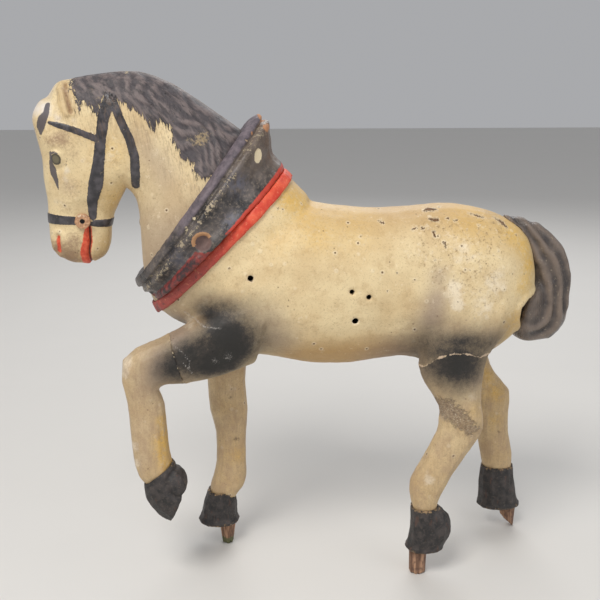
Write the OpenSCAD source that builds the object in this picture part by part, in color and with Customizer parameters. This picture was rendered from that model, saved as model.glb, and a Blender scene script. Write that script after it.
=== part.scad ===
// Toy horse: a hollow moulded horse in glued halves, on carved wooden legs whose
// pegs plug into a base. It faces -X, its near side is -Y, and its pegs stand on z = 0.

/* [Horse] */
// Length over the nose and the tail
horse_length = 292; // [230:1:350]
// Height from the peg tips to the crest
horse_height = 280; // [224:1:336]
// Width over the collar
horse_width = 76; // [62:1:92]

/* [Moulded shell] */
// Wall of the moulded shell
shell_wall = 4; // [2.5:0.1:5]
// Radius of the pin holes in the flanks
pin_hole_r = 1.3; // [0.8:0.1:2]

/* [Wooden legs] */
// Diameter of the pegs under the hooves
peg_d = 10; // [6:0.5:12]
// Length of the pegs below the soles
peg_length = 15; // [8:1:20]
// Diameter of the tenons that enter the blocks
tenon_d = 9; // [6:0.5:10]
// Length of the tenons
tenon_length = 22; // [18:1:26]
// Diameter of the nails that hold the tenons
nail_d = 1.8; // [1.2:0.1:2.4]

/* [Collar] */
// Width of the red band behind the collar
band_width = 6; // [4:0.5:8]
// How far the band stands proud of the body
band_rise = 1.6; // [1:0.1:2.5]

/* [Bit bosses] */
// Diameter of the round bosses at the ends of the bit
boss_d = 8; // [6:0.5:10]

/* [Hidden] */

gap = 0.15;          // glue line between pieces that are fitted to each other
nail_gap = 0.03;     // play round a nail
nail_length = 16;
nail_head = 1.2;
head_bore = 8;       // depth of the wide part of a nail's hole
sunk = 3;            // how far a tenon or a peg starts inside the carved leg
bore_start = 10;     // how far a tenon's bore starts outside its joint
around = 24;         // points round the body, the neck and the head
round_limb = 12;     // points round a leg, a hoof and the tail
coarse = 0.67;       // share of those points round a cavity
steps = 2;           // rings from one station to the next
peg_r = peg_d / 2;
tenon_r = tenon_d / 2;
nail_r = nail_d / 2;
cream = [0.86, 0.78, 0.60];
black = [0.20, 0.19, 0.21];
red = [0.78, 0.22, 0.16];
bare_wood = [0.70, 0.52, 0.36];
iron = [0.35, 0.33, 0.32];

// The stations below are drawn for a horse 292 long, 280 high and 76 wide, and are
// stretched to the sizes above. The pegs keep their own length under the soles.
along = horse_length / 292;
upward = (horse_height - peg_length) / (280 - 15);
across = horse_width / 76;

// A station is [x, y, z, tilt, up, down, half width]. Its ring lies in the plane of Y and
// the direction that tilt gives, in degrees from +X towards +Z; up and down are its
// half lengths along that direction and against it.

// Trunk, from the buttocks to the chest
trunk = [
    [124,  0, 166, 90,  5,  5,  5],
    [121,  0, 166, 90, 21, 19, 15],
    [114,  0, 166, 90, 31, 29, 24],
    [102,  0, 165, 90, 39, 38, 31],
    [ 88,  0, 165, 90, 43, 43, 34],
    [ 70,  0, 165, 90, 45, 43, 34],
    [ 48,  0, 166, 90, 42, 42, 33],
    [ 25,  0, 165, 90, 43, 44, 34],
    [  2,  0, 165, 90, 46, 44, 35],
    [-20,  0, 168, 90, 47, 43, 35],
    [-42,  0, 168, 90, 44, 39, 33],
    [-58,  0, 164, 90, 34, 30, 27],
    [-67,  0, 160, 90, 19, 18, 18],
    [-71,  0, 158, 90,  7,  6,  8]
];

// Neck, from the withers over the poll to the forehead
neck = [
    [ -38, 0, 178,  45, 51, 47, 31],
    [ -50, 0, 190,  46, 51, 51, 32],
    [ -61, 0, 204,  50, 47, 47, 28],
    [ -66, 0, 215,  52, 44, 44, 25],
    [ -75, 0, 229,  61, 38, 38, 21],
    [ -84, 0, 243,  71, 32, 32, 18],
    [ -95, 0, 250,  82, 30, 30, 17],
    [-107, 0, 251,  93, 28, 28, 16],
    [-119, 0, 251, 103, 26, 24, 16],
    [-129, 0, 250, 117, 22, 18, 15],
    [-134, 0, 248, 135, 14, 12, 11]
];
neck_root = 0;
neck_joint = 2;      // the station where the head halves meet the body halves
neck_end = 10;

// Head, from the crown to the lips
head = [
    [-128, 0, 271, 180,  8,  8,  8],
    [-127, 0, 265, 180, 16, 19, 14],
    [-125, 0, 256, 180, 21, 25, 17],
    [-125, 0, 246, 180, 20, 28, 18],
    [-125, 0, 236, 180, 18, 29, 18],
    [-125, 0, 226, 180, 18, 27, 17],
    [-125, 0, 216, 180, 17, 23, 15],
    [-125, 0, 206, 180, 17, 18, 13],
    [-125, 0, 196, 180, 17, 16, 12],
    [-125, 0, 189, 180, 16, 15, 11],
    [-125, 0, 183, 180, 11, 12,  9],
    [-125, 0, 180, 180,  6,  6,  5]
];

// Ear, from its root inside the head to its tip
ear_form = [
    [-125, 10, 246, 180, 5, 5, 5],
    [-126, 13, 258, 180, 6, 5, 4],
    [-127, 11, 271, 180, 2, 2, 2]
];

// Limbs, from inside the body to the end of the wood. bed is a leg's radius at the sole,
// where it closes over the top of its peg.
bed = peg_d / 2 + 0.6;
near_fore = [
    [-28, -20, 152,  80, 24, 26, 15],
    [-51, -23, 141,  86, 19, 21, 14],
    [-74, -25, 131, 106, 15, 14, 12],
    [-84, -26, 129, 107, 13, 12, 11],
    [-93, -26, 122, 138, 14, 11, 10],
    [-92, -26, 107, 176, 10, 10,  8],
    [-91, -26,  92, 180, 10, 10,  8],
    [-90, -26,  78, 184, 10, 10,  8],
    [-88, -26,  68, 201, 10, 10,  8],
    [-83, -26,  60, 222,  7,  7,  6],
    [-80, -26,  55, 235,  5,  5,  5]
];
off_fore = [
    [-46, 16, 160, 0, 20, 22, 15],
    [-48, 17, 140, 0, 17, 17, 14],
    [-49, 17, 120, 0, 13, 13, 12],
    [-49, 17, 104, 0, 11, 11,  9],
    [-48, 17,  86, 0, 11, 11,  9],
    [-47, 17,  72, 0,  9,  9,  8],
    [-47, 17,  54, 0,  9,  9,  8],
    [-48, 17,  44, 0, 10, 10,  8],
    [-50, 17,  37, 0, 10, 10,  8],
    [-52, 17,  30, 0,  7,  7,  6],
    [-50, 17,  15, 0, bed, bed, bed]
];
near_hind = [
    [88, -18, 160,   0, 24, 26, 16],
    [82, -21, 142,   0, 23, 25, 15],
    [76, -23, 128,  13, 20, 20, 13],
    [76, -24, 114,   0, 16, 16, 11],
    [80, -25, 101,   0, 12, 12, 10],
    [81, -25,  91, -12, 13, 13,  9],
    [77, -25,  80, -28, 11, 11,  8],
    [69, -25,  66, -25, 10, 10,  8],
    [63, -25,  54, -15, 10, 10,  8],
    [62, -25,  45,   0,  8,  8,  7],
    [62, -25,  34,   0,  6,  6,  6],
    [59, -25,  15,   0, bed, bed, bed]
];
off_hind = [
    [ 94, 18, 160,  0, 22, 26, 16],
    [ 90, 21, 143,  0, 21, 23, 15],
    [ 88, 23, 128,  0, 18, 19, 13],
    [ 93, 25, 114,  0, 15, 15, 11],
    [102, 26, 102,  0, 12, 12, 10],
    [111, 26,  91,  0, 12, 12,  9],
    [112, 26,  78,  0, 11, 11,  8],
    [114, 26,  64,  0, 10, 10,  8],
    [117, 26,  50,  0, 10, 10,  8],
    [118, 26,  41,  0,  9,  9,  7],
    [122, 26,  28,  0,  7,  7,  6],
    [126, 26,  15,  0, bed, bed, bed]
];
limb_root = 0;
limb_joint = 2;      // the station where the wood leaves the shell
cavity_start = 0.3;  // how far past its first station a limb is hollow

// Hooves, from the coronet to the sole
near_fore_hoof_form = [
    [-87, -26, 67, 218, 10, 11,  9],
    [-85, -26, 61, 226, 13, 13, 10],
    [-80, -26, 54, 238, 14, 14, 11],
    [-76, -26, 49, 246, 12, 12, 10]
];
off_fore_hoof_form = [
    [-53, 17, 35, 0,  8,  9,  8],
    [-54, 17, 27, 0, 10, 10,  9],
    [-55, 17, 20, 0, 11, 11, 10],
    [-55, 17, 15, 0, 12, 12, 11]
];
near_hind_hoof_form = [
    [62, -25, 41, 0,  8,  8,  8],
    [65, -25, 35, 0, 11, 11,  9],
    [66, -25, 27, 0, 12, 12, 10],
    [64, -25, 20, 0, 11, 11, 10],
    [62, -25, 15, 0, 10, 10,  9]
];
off_hind_hoof_form = [
    [118, 26, 42, 0, 10, 10,  8],
    [118, 26, 34, 0, 11, 11,  9],
    [119, 26, 22, 0, 12, 12, 10],
    [120, 26, 15, 0, 13, 13, 10]
];

// Tail, from the dock down to its curled end
tail_form = [
    [106, 0, 199,  75,  4,  4, 4],
    [114, 0, 195,  58,  7,  7, 7],
    [124, 0, 189,  40,  9, 10, 8],
    [131, 0, 180,  22, 11, 12, 9],
    [134, 0, 168,   8, 12, 12, 9],
    [133, 0, 157,   0, 13, 14, 9],
    [132, 0, 149,   0, 14, 15, 9],
    [131, 0, 142,   0, 14, 14, 9],
    [130, 0, 136,   0, 12, 11, 8],
    [130, 0, 131,   0,  6,  6, 5]
];

// Rings of the collar and of its band: [bottom x, bottom z, top x, top z, half width]
collar_rings = [
    [-88, 178, -42, 240, 19],
    [-93, 174, -38, 248, 27],
    [-97, 170, -34, 255, 33],
    [-96, 166, -29, 258, 36],
    [-91, 164, -25, 254, 37],
    [-89, 161, -20, 240, 38],
    [-87, 159, -16, 229, 38],
    [-78, 168, -25, 220, 24]
];
widest = 0.40;       // height of a collar ring's widest point, as a share of its length

// Pin holes in the shell, as [x, z], on the near side
near_pin_holes = [[-35, 176], [18, 168], [27, 165], [20, 152]];
off_pin_holes = [[-35, 176]];

// Middle of each bit boss on the near side, and the crown of its dome
boss_at = [-122, 204];
boss_from = 10;      // where its cylinder starts inside the cheek
boss_depth = 3.6;    // from there to the cheek's face
boss_rise = 1.6;
boss_hole_r = 1;

// Wooden blocks inside, as [low corner, high corner] before they are fitted to the cavity
chest_block_box = [[-64, -40, 126], [-34, 40, 152]];
hip_block_box = [[66, -40, 136], [102, 40, 162]];
plug_from = 1.4;     // stations of the neck between which the plug lies
plug_to = 2.6;

// Stretches a station to the driving sizes: heights below the soles don't change.
function height(z) = peg_length + (z - 15) * upward;
function stretched(s) = [
    s[0] * along, s[1] * across, height(s[2]), s[3],
    s[4] * tilted(s[3]), s[5] * tilted(s[3]), s[6] * across
];
function tilted(a) = norm([cos(a) * along, sin(a) * upward]);

// A smooth run of stations through a list of them
function between(a, b, c, d, t) =
    b + (c - a) * t / 2 + (2 * a - 5 * b + 4 * c - d) * t * t / 2
    + (3 * b - a - 3 * c + d) * t * t * t / 2;
function smooth_at(s, u) =
    let (i = min(floor(u), len(s) - 2))
    between(s[max(i - 1, 0)], s[i], s[i + 1], s[min(i + 2, len(s) - 1)], u - i);
function run(s, from, to) =
    let (n = max(1, round((to - from) * steps)))
    [for (i = [0:n]) stretched(smooth_at(s, from + (to - from) * i / n))];

// One ring of points round a station, grown by a distance
function softened(v) = sign(v) * pow(abs(v), 0.9);
function ring(s, grow, n) =
    let (u = [cos(s[3]), 0, sin(s[3])], c = [s[0], s[1], s[2]])
    [for (i = [0:n - 1])
        let (a = 360 * i / n, d = sin(a), far = (d > 0 ? s[4] : s[5]) + grow)
        c + u * far * softened(d) + [0, (s[6] + grow) * softened(cos(a)), 0]];

// A closed solid through rings of n points, with flat ends
module skin(rings, n) {
    m = len(rings);
    sides = [for (i = [0:m - 2]) for (j = [0:n - 1])
        let (k = (j + 1) % n) for (t = [0, 1])
        t == 0 ? [i * n + j, (i + 1) * n + j, i * n + k]
               : [i * n + k, (i + 1) * n + j, (i + 1) * n + k]];
    first = [for (j = [0:n - 1]) j];
    last = [for (j = [n - 1:-1:0]) (m - 1) * n + j];
    polyhedron([for (r = rings) each r], concat(sides, [first, last]));
}

// The rings that are still open after growing: a shrunken end runs out early. They
// are taken in the order in which each ring turns clockwise as seen from the next.
module loft(stations, grow = 0, n = around) {
    open = [for (s = stations) if (min(s[4], s[5], s[6]) + grow > 1) s];
    last = len(open) - 1;
    m = grow < -1 ? round(n * coarse) : n;
    onward = [open[last][0] - open[0][0], 0, open[last][2] - open[0][2]];
    turned = onward * [sin(open[0][3]), 0, -cos(open[0][3])] < 0;
    skin([for (i = [0:last]) ring(open[turned ? last - i : i], grow, m)], m);
}

// A solid that runs round the neck through rings, closed on itself
module hoop(rings, grow = 0) {
    m = len(rings);
    n = around;
    points = [for (r = rings) each collar_ring(r, grow)];
    faces = [for (i = [0:m - 1]) for (j = [0:n - 1])
        let (h = (i + 1) % m, k = (j + 1) % n) for (t = [0, 1])
        t == 0 ? [i * n + j, h * n + j, i * n + k] : [i * n + k, h * n + j, h * n + k]];
    polyhedron(points, faces);
}
function collar_ring(r, grow) =
    let (low = [r[0] * along, height(r[1])], top = [r[2] * along, height(r[3])],
         long = norm(top - low), d = (top - low) / long,
         c = low + d * long * widest)
    [for (i = [0:around - 1])
        let (a = 360 * i / around, s = sin(a),
             far = long * (s > 0 ? 1 - widest : widest) + grow)
        [c[0] + d[0] * far * s, (r[4] * across + grow) * cos(a), c[1] + d[1] * far * s]];

// Moulded forms. They are solids of the outer shape grown by a distance: 0 gives the
// outside of the shell and -shell_wall its cavity. past carries an open end onward.
module limb_stump(s, grow, past) {
    root = limb_root + (grow < 0 ? cavity_start : 0);
    loft(run(s, root, limb_joint + past), grow, round_limb);
}
module body_form(grow = 0, past = 0) {
    loft(run(trunk, 0, len(trunk) - 1), grow);
    loft(run(neck, neck_root, neck_joint + past), grow);
    for (s = [near_fore, off_fore, near_hind, off_hind]) limb_stump(s, grow, past);
}
module head_form(grow = 0, past = 0) {
    loft(run(neck, neck_joint - past, neck_end), grow);
    loft(run(head, 0, len(head) - 1), grow);
    for (side = [-1, 1]) ear(side, grow);
}
module ear(side, grow) {
    rings = [for (s = ear_form) stretched([s[0], side * s[1], s[2], s[3], s[4], s[5], s[6]])];
    if (grow >= 0) loft(rings, grow, round_limb);
}

// The half of space on one side of the horse's middle plane
module side_of(side) {
    size = 2 * (horse_length + horse_height);
    translate([-size / 2, side < 0 ? -size : 0, -size / 2]) cube(size);
}

// The joint of a limb: its station, and the direction from there into the body
function joint_of(limb) = stretched(limb[limb_joint]);
function place(s) = [s[0], s[1], s[2]];
function inward(limb) =
    let (j = joint_of(limb), n = [-sin(j[3]), 0, cos(j[3])],
         root = stretched(limb[limb_root]))
    n * sign(n * (place(root) - place(j)));
module on_joint(limb) {
    n = inward(limb);
    translate(place(joint_of(limb))) rotate([0, atan2(n[0], n[2]), 0]) children();
}

// Sizes of 0 leave the shape as it is: the halves are carried over as one skin.
module moulded_half(side) {
    resize([0, 0, 0]) intersection() {
        difference() {
            children(0);
            children(1);
        }
        side_of(side);
    }
}
module body_half(side, holes) {
    color(cream) difference() {
        moulded_half(side) {
            body_form();
            body_form(-shell_wall, past = 0.5);
        }
        for (h = holes)
            translate([h[0] * along, 0, height(h[1])]) rotate([side < 0 ? 90 : -90, 0, 0])
                cylinder(r = pin_hole_r, h = horse_width, $fn = 24);
    }
}
module head_half(side) {
    color(cream) moulded_half(side) {
        head_form();
        head_form(-shell_wall, past = 0.5);
    }
}

// Collar and band, cut to seat on the moulded halves
module seated(grow = gap) {
    resize([0, 0, 0]) difference() {
        children(0);
        body_form(grow);
        head_form(grow);
    }
}
module horse_collar() {
    color(black) seated() hoop(collar_rings);
}
// The band is a strip of the body's own surface, raised, just behind the collar's back.
module collar_band() {
    back = collar_rings[len(collar_rings) - 2];
    low = [back[0] * along, height(back[1])];
    top = [back[2] * along, height(back[3])];
    color(red) seated() intersection() {
        body_form(band_rise);
        translate([low[0], 0, low[1]]) rotate([0, -atan2(top[1] - low[1], top[0] - low[0]), 0])
            translate([-horse_width, -horse_width, -gap - band_width])
                cube([norm(top - low) + 2 * horse_width, 2 * horse_width, band_width]);
    }
}
module tail() {
    color(black) resize([0, 0, 0]) difference() {
        loft(run(tail_form, 0, len(tail_form) - 1), 0, round_limb);
        body_form(gap);
    }
}

// A carved leg: the limb from its joint down, scooped where the belly bulges past the
// joint, with the tenon above and the peg below
module leg(limb, nail, peg = true) {
    end = stretched(limb[len(limb) - 1]);
    color(bare_wood) difference() {
        union() {
            resize([0, 0, 0]) difference() {
                loft(leg_run(limb), 0, round_limb);
                loft(run(trunk, 0, len(trunk) - 1), gap);
            }
            on_joint(limb) translate([0, 0, -sunk])
                cylinder(r = tenon_r, h = tenon_length + sunk, $fn = 32);
            if (peg) translate([end[0], end[1], 0])
                cylinder(r = peg_r, h = peg_length + sunk, $fn = 48);
        }
        nail_hole(nail);
    }
}
// The first ring stands a glue line below the shell's end
function leg_run(limb) =
    let (r = run(limb, limb_joint, len(limb) - 1), s = r[0], p = place(s) - inward(limb) * gap)
    concat([[p[0], p[1], p[2], s[3], s[4], s[5], s[6]]], [for (i = [1:len(r) - 1]) r[i]]);

module hoof(form, limb) {
    color(black) resize([0, 0, 0]) difference() {
        loft(run(form, 0, len(form) - 1), 0, round_limb);
        loft(leg_run(limb), gap, round_limb);
    }
}

// Blocks inside the shell, fitted to its cavity and bored for the tenons
module fitted_block(corners, past) {
    low = corners[0];
    high = corners[1];
    resize([0, 0, 0]) intersection() {
        translate([low[0] * along, low[1] * across, height(low[2])])
            cube([(high[0] - low[0]) * along, (high[1] - low[1]) * across,
                  (high[2] - low[2]) * upward]);
        body_form(-shell_wall - gap, past);
    }
}
module tenon_bore(limb) {
    on_joint(limb) translate([0, 0, -bore_start])
        cylinder(r = tenon_r + gap, h = tenon_length + bore_start + gap, $fn = 32);
}
module block(corners, limbs, nails) {
    color(bare_wood) difference() {
        fitted_block(corners, 0);
        for (l = limbs) tenon_bore(l);
        for (n = nails) nail_hole(n);
    }
}
module neck_plug() {
    color(bare_wood) loft(run(neck, plug_from, plug_to), -shell_wall - gap);
}

// Nails: each is [point under the head, direction]
function at(x, y, z) = [x * along, y * across, height(z)];
near_hind_nail = [at(66, -23, 143), [1, 0, 0]];
off_hind_nail = [at(102, 23, 143), [-1, 0, 0]];
off_fore_nail = [at(-38, 17, 138), [-1, 0, 0]];
near_fore_nail = [at(-58, -25, 147), [0, 0, -1]];
module along_nail(n) {
    d = n[1];
    translate(n[0]) rotate(d[2] < 0 ? [180, 0, 0] : [0, d[0] * 90, 0]) children();
}
// The hole is widened above the nail, so the head goes down below the wood's face.
module nail_hole(n) {
    along_nail(n) {
        translate([0, 0, -nail_head])
            cylinder(r = nail_r + nail_gap, h = nail_length + nail_head + nail_gap, $fn = 24);
        translate([0, 0, -head_bore]) cylinder(r = nail_d + nail_gap, h = head_bore, $fn = 24);
    }
}
module leg_nails() {
    color(iron) for (n = [near_fore_nail, off_fore_nail, near_hind_nail, off_hind_nail])
        along_nail(n) {
            cylinder(r = nail_r, h = nail_length, $fn = 24);
            translate([0, 0, -nail_head]) cylinder(r = nail_d, h = nail_head, $fn = 24);
        }
}

module bit_bosses() {
    color(cream) for (side = [-1, 1])
        resize([0, 0, 0]) difference() {
            translate([boss_at[0] * along, side * boss_from * across, height(boss_at[1])])
                rotate([side < 0 ? 90 : -90, 0, 0]) difference() {
                    cylinder(r = boss_d / 2, h = boss_depth * across + boss_rise, $fn = 32);
                    cylinder(r = boss_hole_r, h = 2 * boss_from, $fn = 16);
                }
            head_form(gap);
        }
}

body_half(-1, near_pin_holes);  // near_body_half
body_half(1, off_pin_holes);  // off_body_half
head_half(-1);  // near_head_half
head_half(1);  // off_head_half
horse_collar();
collar_band();
tail();
leg(near_fore, near_fore_nail, peg = false);  // near_fore_leg
leg(off_fore, off_fore_nail);  // off_fore_leg
leg(near_hind, near_hind_nail);  // near_hind_leg
leg(off_hind, off_hind_nail);  // off_hind_leg
hoof(near_fore_hoof_form, near_fore);  // near_fore_hoof
hoof(off_fore_hoof_form, off_fore);  // off_fore_hoof
hoof(near_hind_hoof_form, near_hind);  // near_hind_hoof
hoof(off_hind_hoof_form, off_hind);  // off_hind_hoof
block(chest_block_box, [near_fore, off_fore], [near_fore_nail, off_fore_nail]);  // chest_block
block(hip_block_box, [near_hind, off_hind], [near_hind_nail, off_hind_nail]);  // hip_block
neck_plug();
leg_nails();
bit_bosses();
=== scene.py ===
import math

import bpy
import numpy as np
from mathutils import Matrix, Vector, noise


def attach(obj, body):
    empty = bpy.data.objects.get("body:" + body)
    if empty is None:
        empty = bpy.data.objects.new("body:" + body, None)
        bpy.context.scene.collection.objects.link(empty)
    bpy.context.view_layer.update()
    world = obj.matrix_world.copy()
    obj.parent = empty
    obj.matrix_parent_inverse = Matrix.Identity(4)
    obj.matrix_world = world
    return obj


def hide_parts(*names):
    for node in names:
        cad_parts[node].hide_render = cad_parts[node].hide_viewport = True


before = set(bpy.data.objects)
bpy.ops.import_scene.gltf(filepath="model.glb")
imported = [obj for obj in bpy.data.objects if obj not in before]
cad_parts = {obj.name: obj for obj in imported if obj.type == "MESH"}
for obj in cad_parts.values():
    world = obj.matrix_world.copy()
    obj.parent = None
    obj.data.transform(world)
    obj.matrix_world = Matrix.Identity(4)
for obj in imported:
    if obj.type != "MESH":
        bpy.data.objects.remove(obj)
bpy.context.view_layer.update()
mm = 0.001
bpy.context.scene.view_settings.view_transform = "Standard"


# camera

cameraAt = {
    "target": (-7 * mm, 0, 156 * mm),
    "distance": 520 * mm,
    "azimuth": -4,
    "elevation": 14,
    "lens": 55.85,
}


def addCamera(v):
    a, e = math.radians(v["azimuth"]), math.radians(v["elevation"])
    back = Vector((math.sin(a) * math.cos(e), -math.cos(a) * math.cos(e), math.sin(e)))
    bpy.ops.object.camera_add(location=Vector(v["target"]) + back * v["distance"])
    camera = bpy.context.object
    camera.name = "camera"
    camera.rotation_euler = back.to_track_quat("Z", "Y").to_euler()
    camera.data.lens = v["lens"]
    camera.data.sensor_width = 36
    bpy.context.scene.camera = camera


addCamera(cameraAt)
print("camera placed")


# mesh helpers

def deselect():
    if bpy.context.object and bpy.context.object.mode != "OBJECT":
        bpy.ops.object.mode_set(mode="OBJECT")
    bpy.ops.object.select_all(action="DESELECT")


def pick(piece):
    deselect()
    piece.select_set(True)
    bpy.context.view_layer.objects.active = piece


def modify(piece, kind, **settings):
    pick(piece)
    bpy.ops.object.modifier_add(type=kind)
    modifier = piece.modifiers[-1]
    for key, value in settings.items():
        setattr(modifier, key, value)
    bpy.ops.object.modifier_apply(modifier=modifier.name)


# one mesh from copies of CAD nodes, merged, without the faces where two halves meet
def cadCopy(name, *nodes):
    deselect()
    for node in nodes:
        piece = bpy.data.objects.new(name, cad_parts[node].data.copy())
        bpy.context.scene.collection.objects.link(piece)
        piece.select_set(True)
        bpy.context.view_layer.objects.active = piece
    if len(nodes) > 1:
        bpy.ops.object.join()
    piece = bpy.context.object
    bpy.ops.object.mode_set(mode="EDIT")
    bpy.ops.mesh.select_all(action="SELECT")
    bpy.ops.mesh.remove_doubles(threshold=1e-6)
    bpy.ops.mesh.select_mode(type="FACE")
    bpy.ops.mesh.select_all(action="DESELECT")
    bpy.ops.object.mode_set(mode="OBJECT")
    if len(nodes) > 1:
        atMiddle = np.abs(places(piece)[:, 1]) < 1e-3
        for face in piece.data.polygons:
            face.select = all(atMiddle[v] for v in face.vertices)
        bpy.ops.object.mode_set(mode="EDIT")
        bpy.ops.mesh.delete(type="FACE")
        bpy.ops.mesh.select_mode(type="VERT")
        bpy.ops.mesh.select_all(action="SELECT")
        bpy.ops.mesh.remove_doubles(threshold=1e-5)
        bpy.ops.object.mode_set(mode="OBJECT")
    piece.name = name
    return piece


# places of the vertices, in millimetres
def places(piece):
    co = np.zeros(len(piece.data.vertices) * 3, np.float32)
    piece.data.vertices.foreach_get("co", co)
    return co.reshape(-1, 3).astype(float) / mm


def normals(piece):
    no = np.zeros(len(piece.data.vertices) * 3, np.float32)
    piece.data.vertex_normals.foreach_get("vector", no)
    return no.reshape(-1, 3).astype(float)


def move(piece, offsets):
    co = (places(piece) + offsets) * mm
    piece.data.vertices.foreach_set("co", co.astype(np.float32).ravel())
    piece.data.update()


def raiseBy(piece, heights):
    move(piece, normals(piece) * heights[:, None])


# keeps a value at each vertex for the materials
def mark(piece, name, values):
    layer = piece.data.attributes.get(name) or piece.data.attributes.new(name, "FLOAT", "POINT")
    layer.data.foreach_set("value", np.asarray(values, np.float32))


# keeps the sum of soft spots, for each of the named lists of the piece's values
def markSpots(piece, co, v, *names):
    for name in names:
        mark(piece, name, np.clip(spots(co, v[name]), 0, 1))


def weights(piece, name, values):
    group = piece.vertex_groups.new(name=name)
    step = np.round(np.clip(values, 0, 1) * 20).astype(int)
    for level in range(1, 21):
        group.add([int(i) for i in np.nonzero(step == level)[0]], level / 20, "REPLACE")


# fine even mesh over the piece, then smoothed, apart from where keep says
def remesh(piece, voxel, rounds, keep=None):
    modify(piece, "REMESH", mode="VOXEL", voxel_size=voxel * mm)
    if keep is None:
        modify(piece, "SMOOTH", factor=0.5, iterations=rounds)
        return
    weights(piece, "soft", 1 - keep(places(piece)))
    modify(piece, "SMOOTH", factor=0.5, iterations=rounds, vertex_group="soft")
    piece.vertex_groups.clear()


# the block that cuts a shell at the horse's middle, in metres
cutBlock = {"size": 1, "height": 0.15}


# a copy cut at the horse's middle, closed along the cut
def halved(piece, name, side):
    pick(piece)
    bpy.ops.object.duplicate()
    half = bpy.context.object
    half.name = name
    away = -side * cutBlock["size"] / 2
    bpy.ops.mesh.primitive_cube_add(size=cutBlock["size"], location=(0, away, cutBlock["height"]))
    cutter = bpy.context.object
    modify(half, "BOOLEAN", operation="DIFFERENCE", solver="MANIFOLD", object=cutter)
    bpy.data.objects.remove(cutter)
    return half


# the piece gets its material, rides on the part's one body and stands for its nodes
def settle(piece, material, slot, *nodes, angle=50):
    pick(piece)
    bpy.ops.object.shade_smooth_by_angle(angle=math.radians(angle))
    piece.data.materials.clear()
    piece.data.materials.append(material)
    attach(piece, "root")
    if nodes:
        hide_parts(*nodes)
    print(piece.name, "has", len(piece.data.polygons), "faces")


# measures over the surface, all in millimetres

def smoothStep(low, high, value):
    t = np.clip((value - low) / (high - low), 0, 1)
    return t * t * (3 - 2 * t)


def lumps(co, size, seed=0, stretch=(1, 1, 1)):
    shift = Vector((seed * 17.3, seed * 5.1, seed * 11.7))
    return np.array([noise.noise(Vector(p) / size + shift) for p in co * np.array(stretch)])


# distance from a line drawn on the side of the horse, through [x, z] points
def fromLine(co, points):
    best = np.full(len(co), 1e3)
    p = co[:, [0, 2]]
    for a, b in zip(np.array(points[:-1], float), np.array(points[1:], float)):
        t = np.clip(((p - a) @ (b - a)) / ((b - a) @ (b - a)), 0, 1)
        best = np.minimum(best, np.linalg.norm(p - a - t[:, None] * (b - a), axis=1))
    return best


# inside a line whose width changes from point to point, as [x, z, width]
def inStrap(co, points):
    best = np.full(len(co), -1e3)
    p = co[:, [0, 2]]
    for a, b in zip(np.array(points[:-1], float), np.array(points[1:], float)):
        d = b[:2] - a[:2]
        t = np.clip(((p - a[:2]) @ d) / (d @ d), 0, 1)
        wide = (a[2] + (b[2] - a[2]) * t) / 2
        best = np.maximum(best, wide - np.linalg.norm(p - a[:2] - t[:, None] * d, axis=1))
    return best


# inside an outline through [x, z] points, negative outside it
def inOutline(co, points):
    p = co[:, [0, 2]]
    inside = np.zeros(len(co), bool)
    ring = list(points) + [points[0]]
    for (ax, az), (bx, bz) in zip(ring[:-1], ring[1:]):
        crosses = (az > p[:, 1]) != (bz > p[:, 1])
        at = ax + (bx - ax) * (p[:, 1] - az) / (bz - az if bz != az else 1)
        inside ^= crosses & (p[:, 0] < at)
    return fromLine(co, ring) * np.where(inside, 1, -1)


# soft round spots, as [x, z, radius, strength]
def spots(co, circles):
    total = np.zeros(len(co))
    for x, z, radius, strength in circles:
        d2 = (co[:, 0] - x) ** 2 + (co[:, 2] - z) ** 2
        total += strength * np.exp(-d2 / radius ** 2)
    return total


# sprayed ovals that build up, as [x, z, half length, half height, tilt in degrees, strength]
def sprayed(co, ovals):
    clear = np.ones(len(co))
    for x, z, long, high, tilt, strength in ovals:
        a = math.radians(tilt)
        dx, dz = co[:, 0] - x, co[:, 2] - z
        u = (dx * math.cos(a) + dz * math.sin(a)) / long
        w = (dz * math.cos(a) - dx * math.sin(a)) / high
        clear *= 1 - strength * np.exp(-(u * u + w * w))
    return 1 - clear


# inside any of a few small hard spots, as [x, z, radius]
def inSpots(co, circles):
    best = np.full(len(co), -50.0)
    for x, z, radius in circles:
        best = np.maximum(best, radius - np.hypot(co[:, 0] - x, co[:, 2] - z))
    return best


# materials, on Object coordinates in millimetres

def srgb(r, g, b):
    return tuple(c / 255 / 12.92 if c < 11 else ((c / 255 + 0.055) / 1.055) ** 2.4 for c in (r, g, b))


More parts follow.
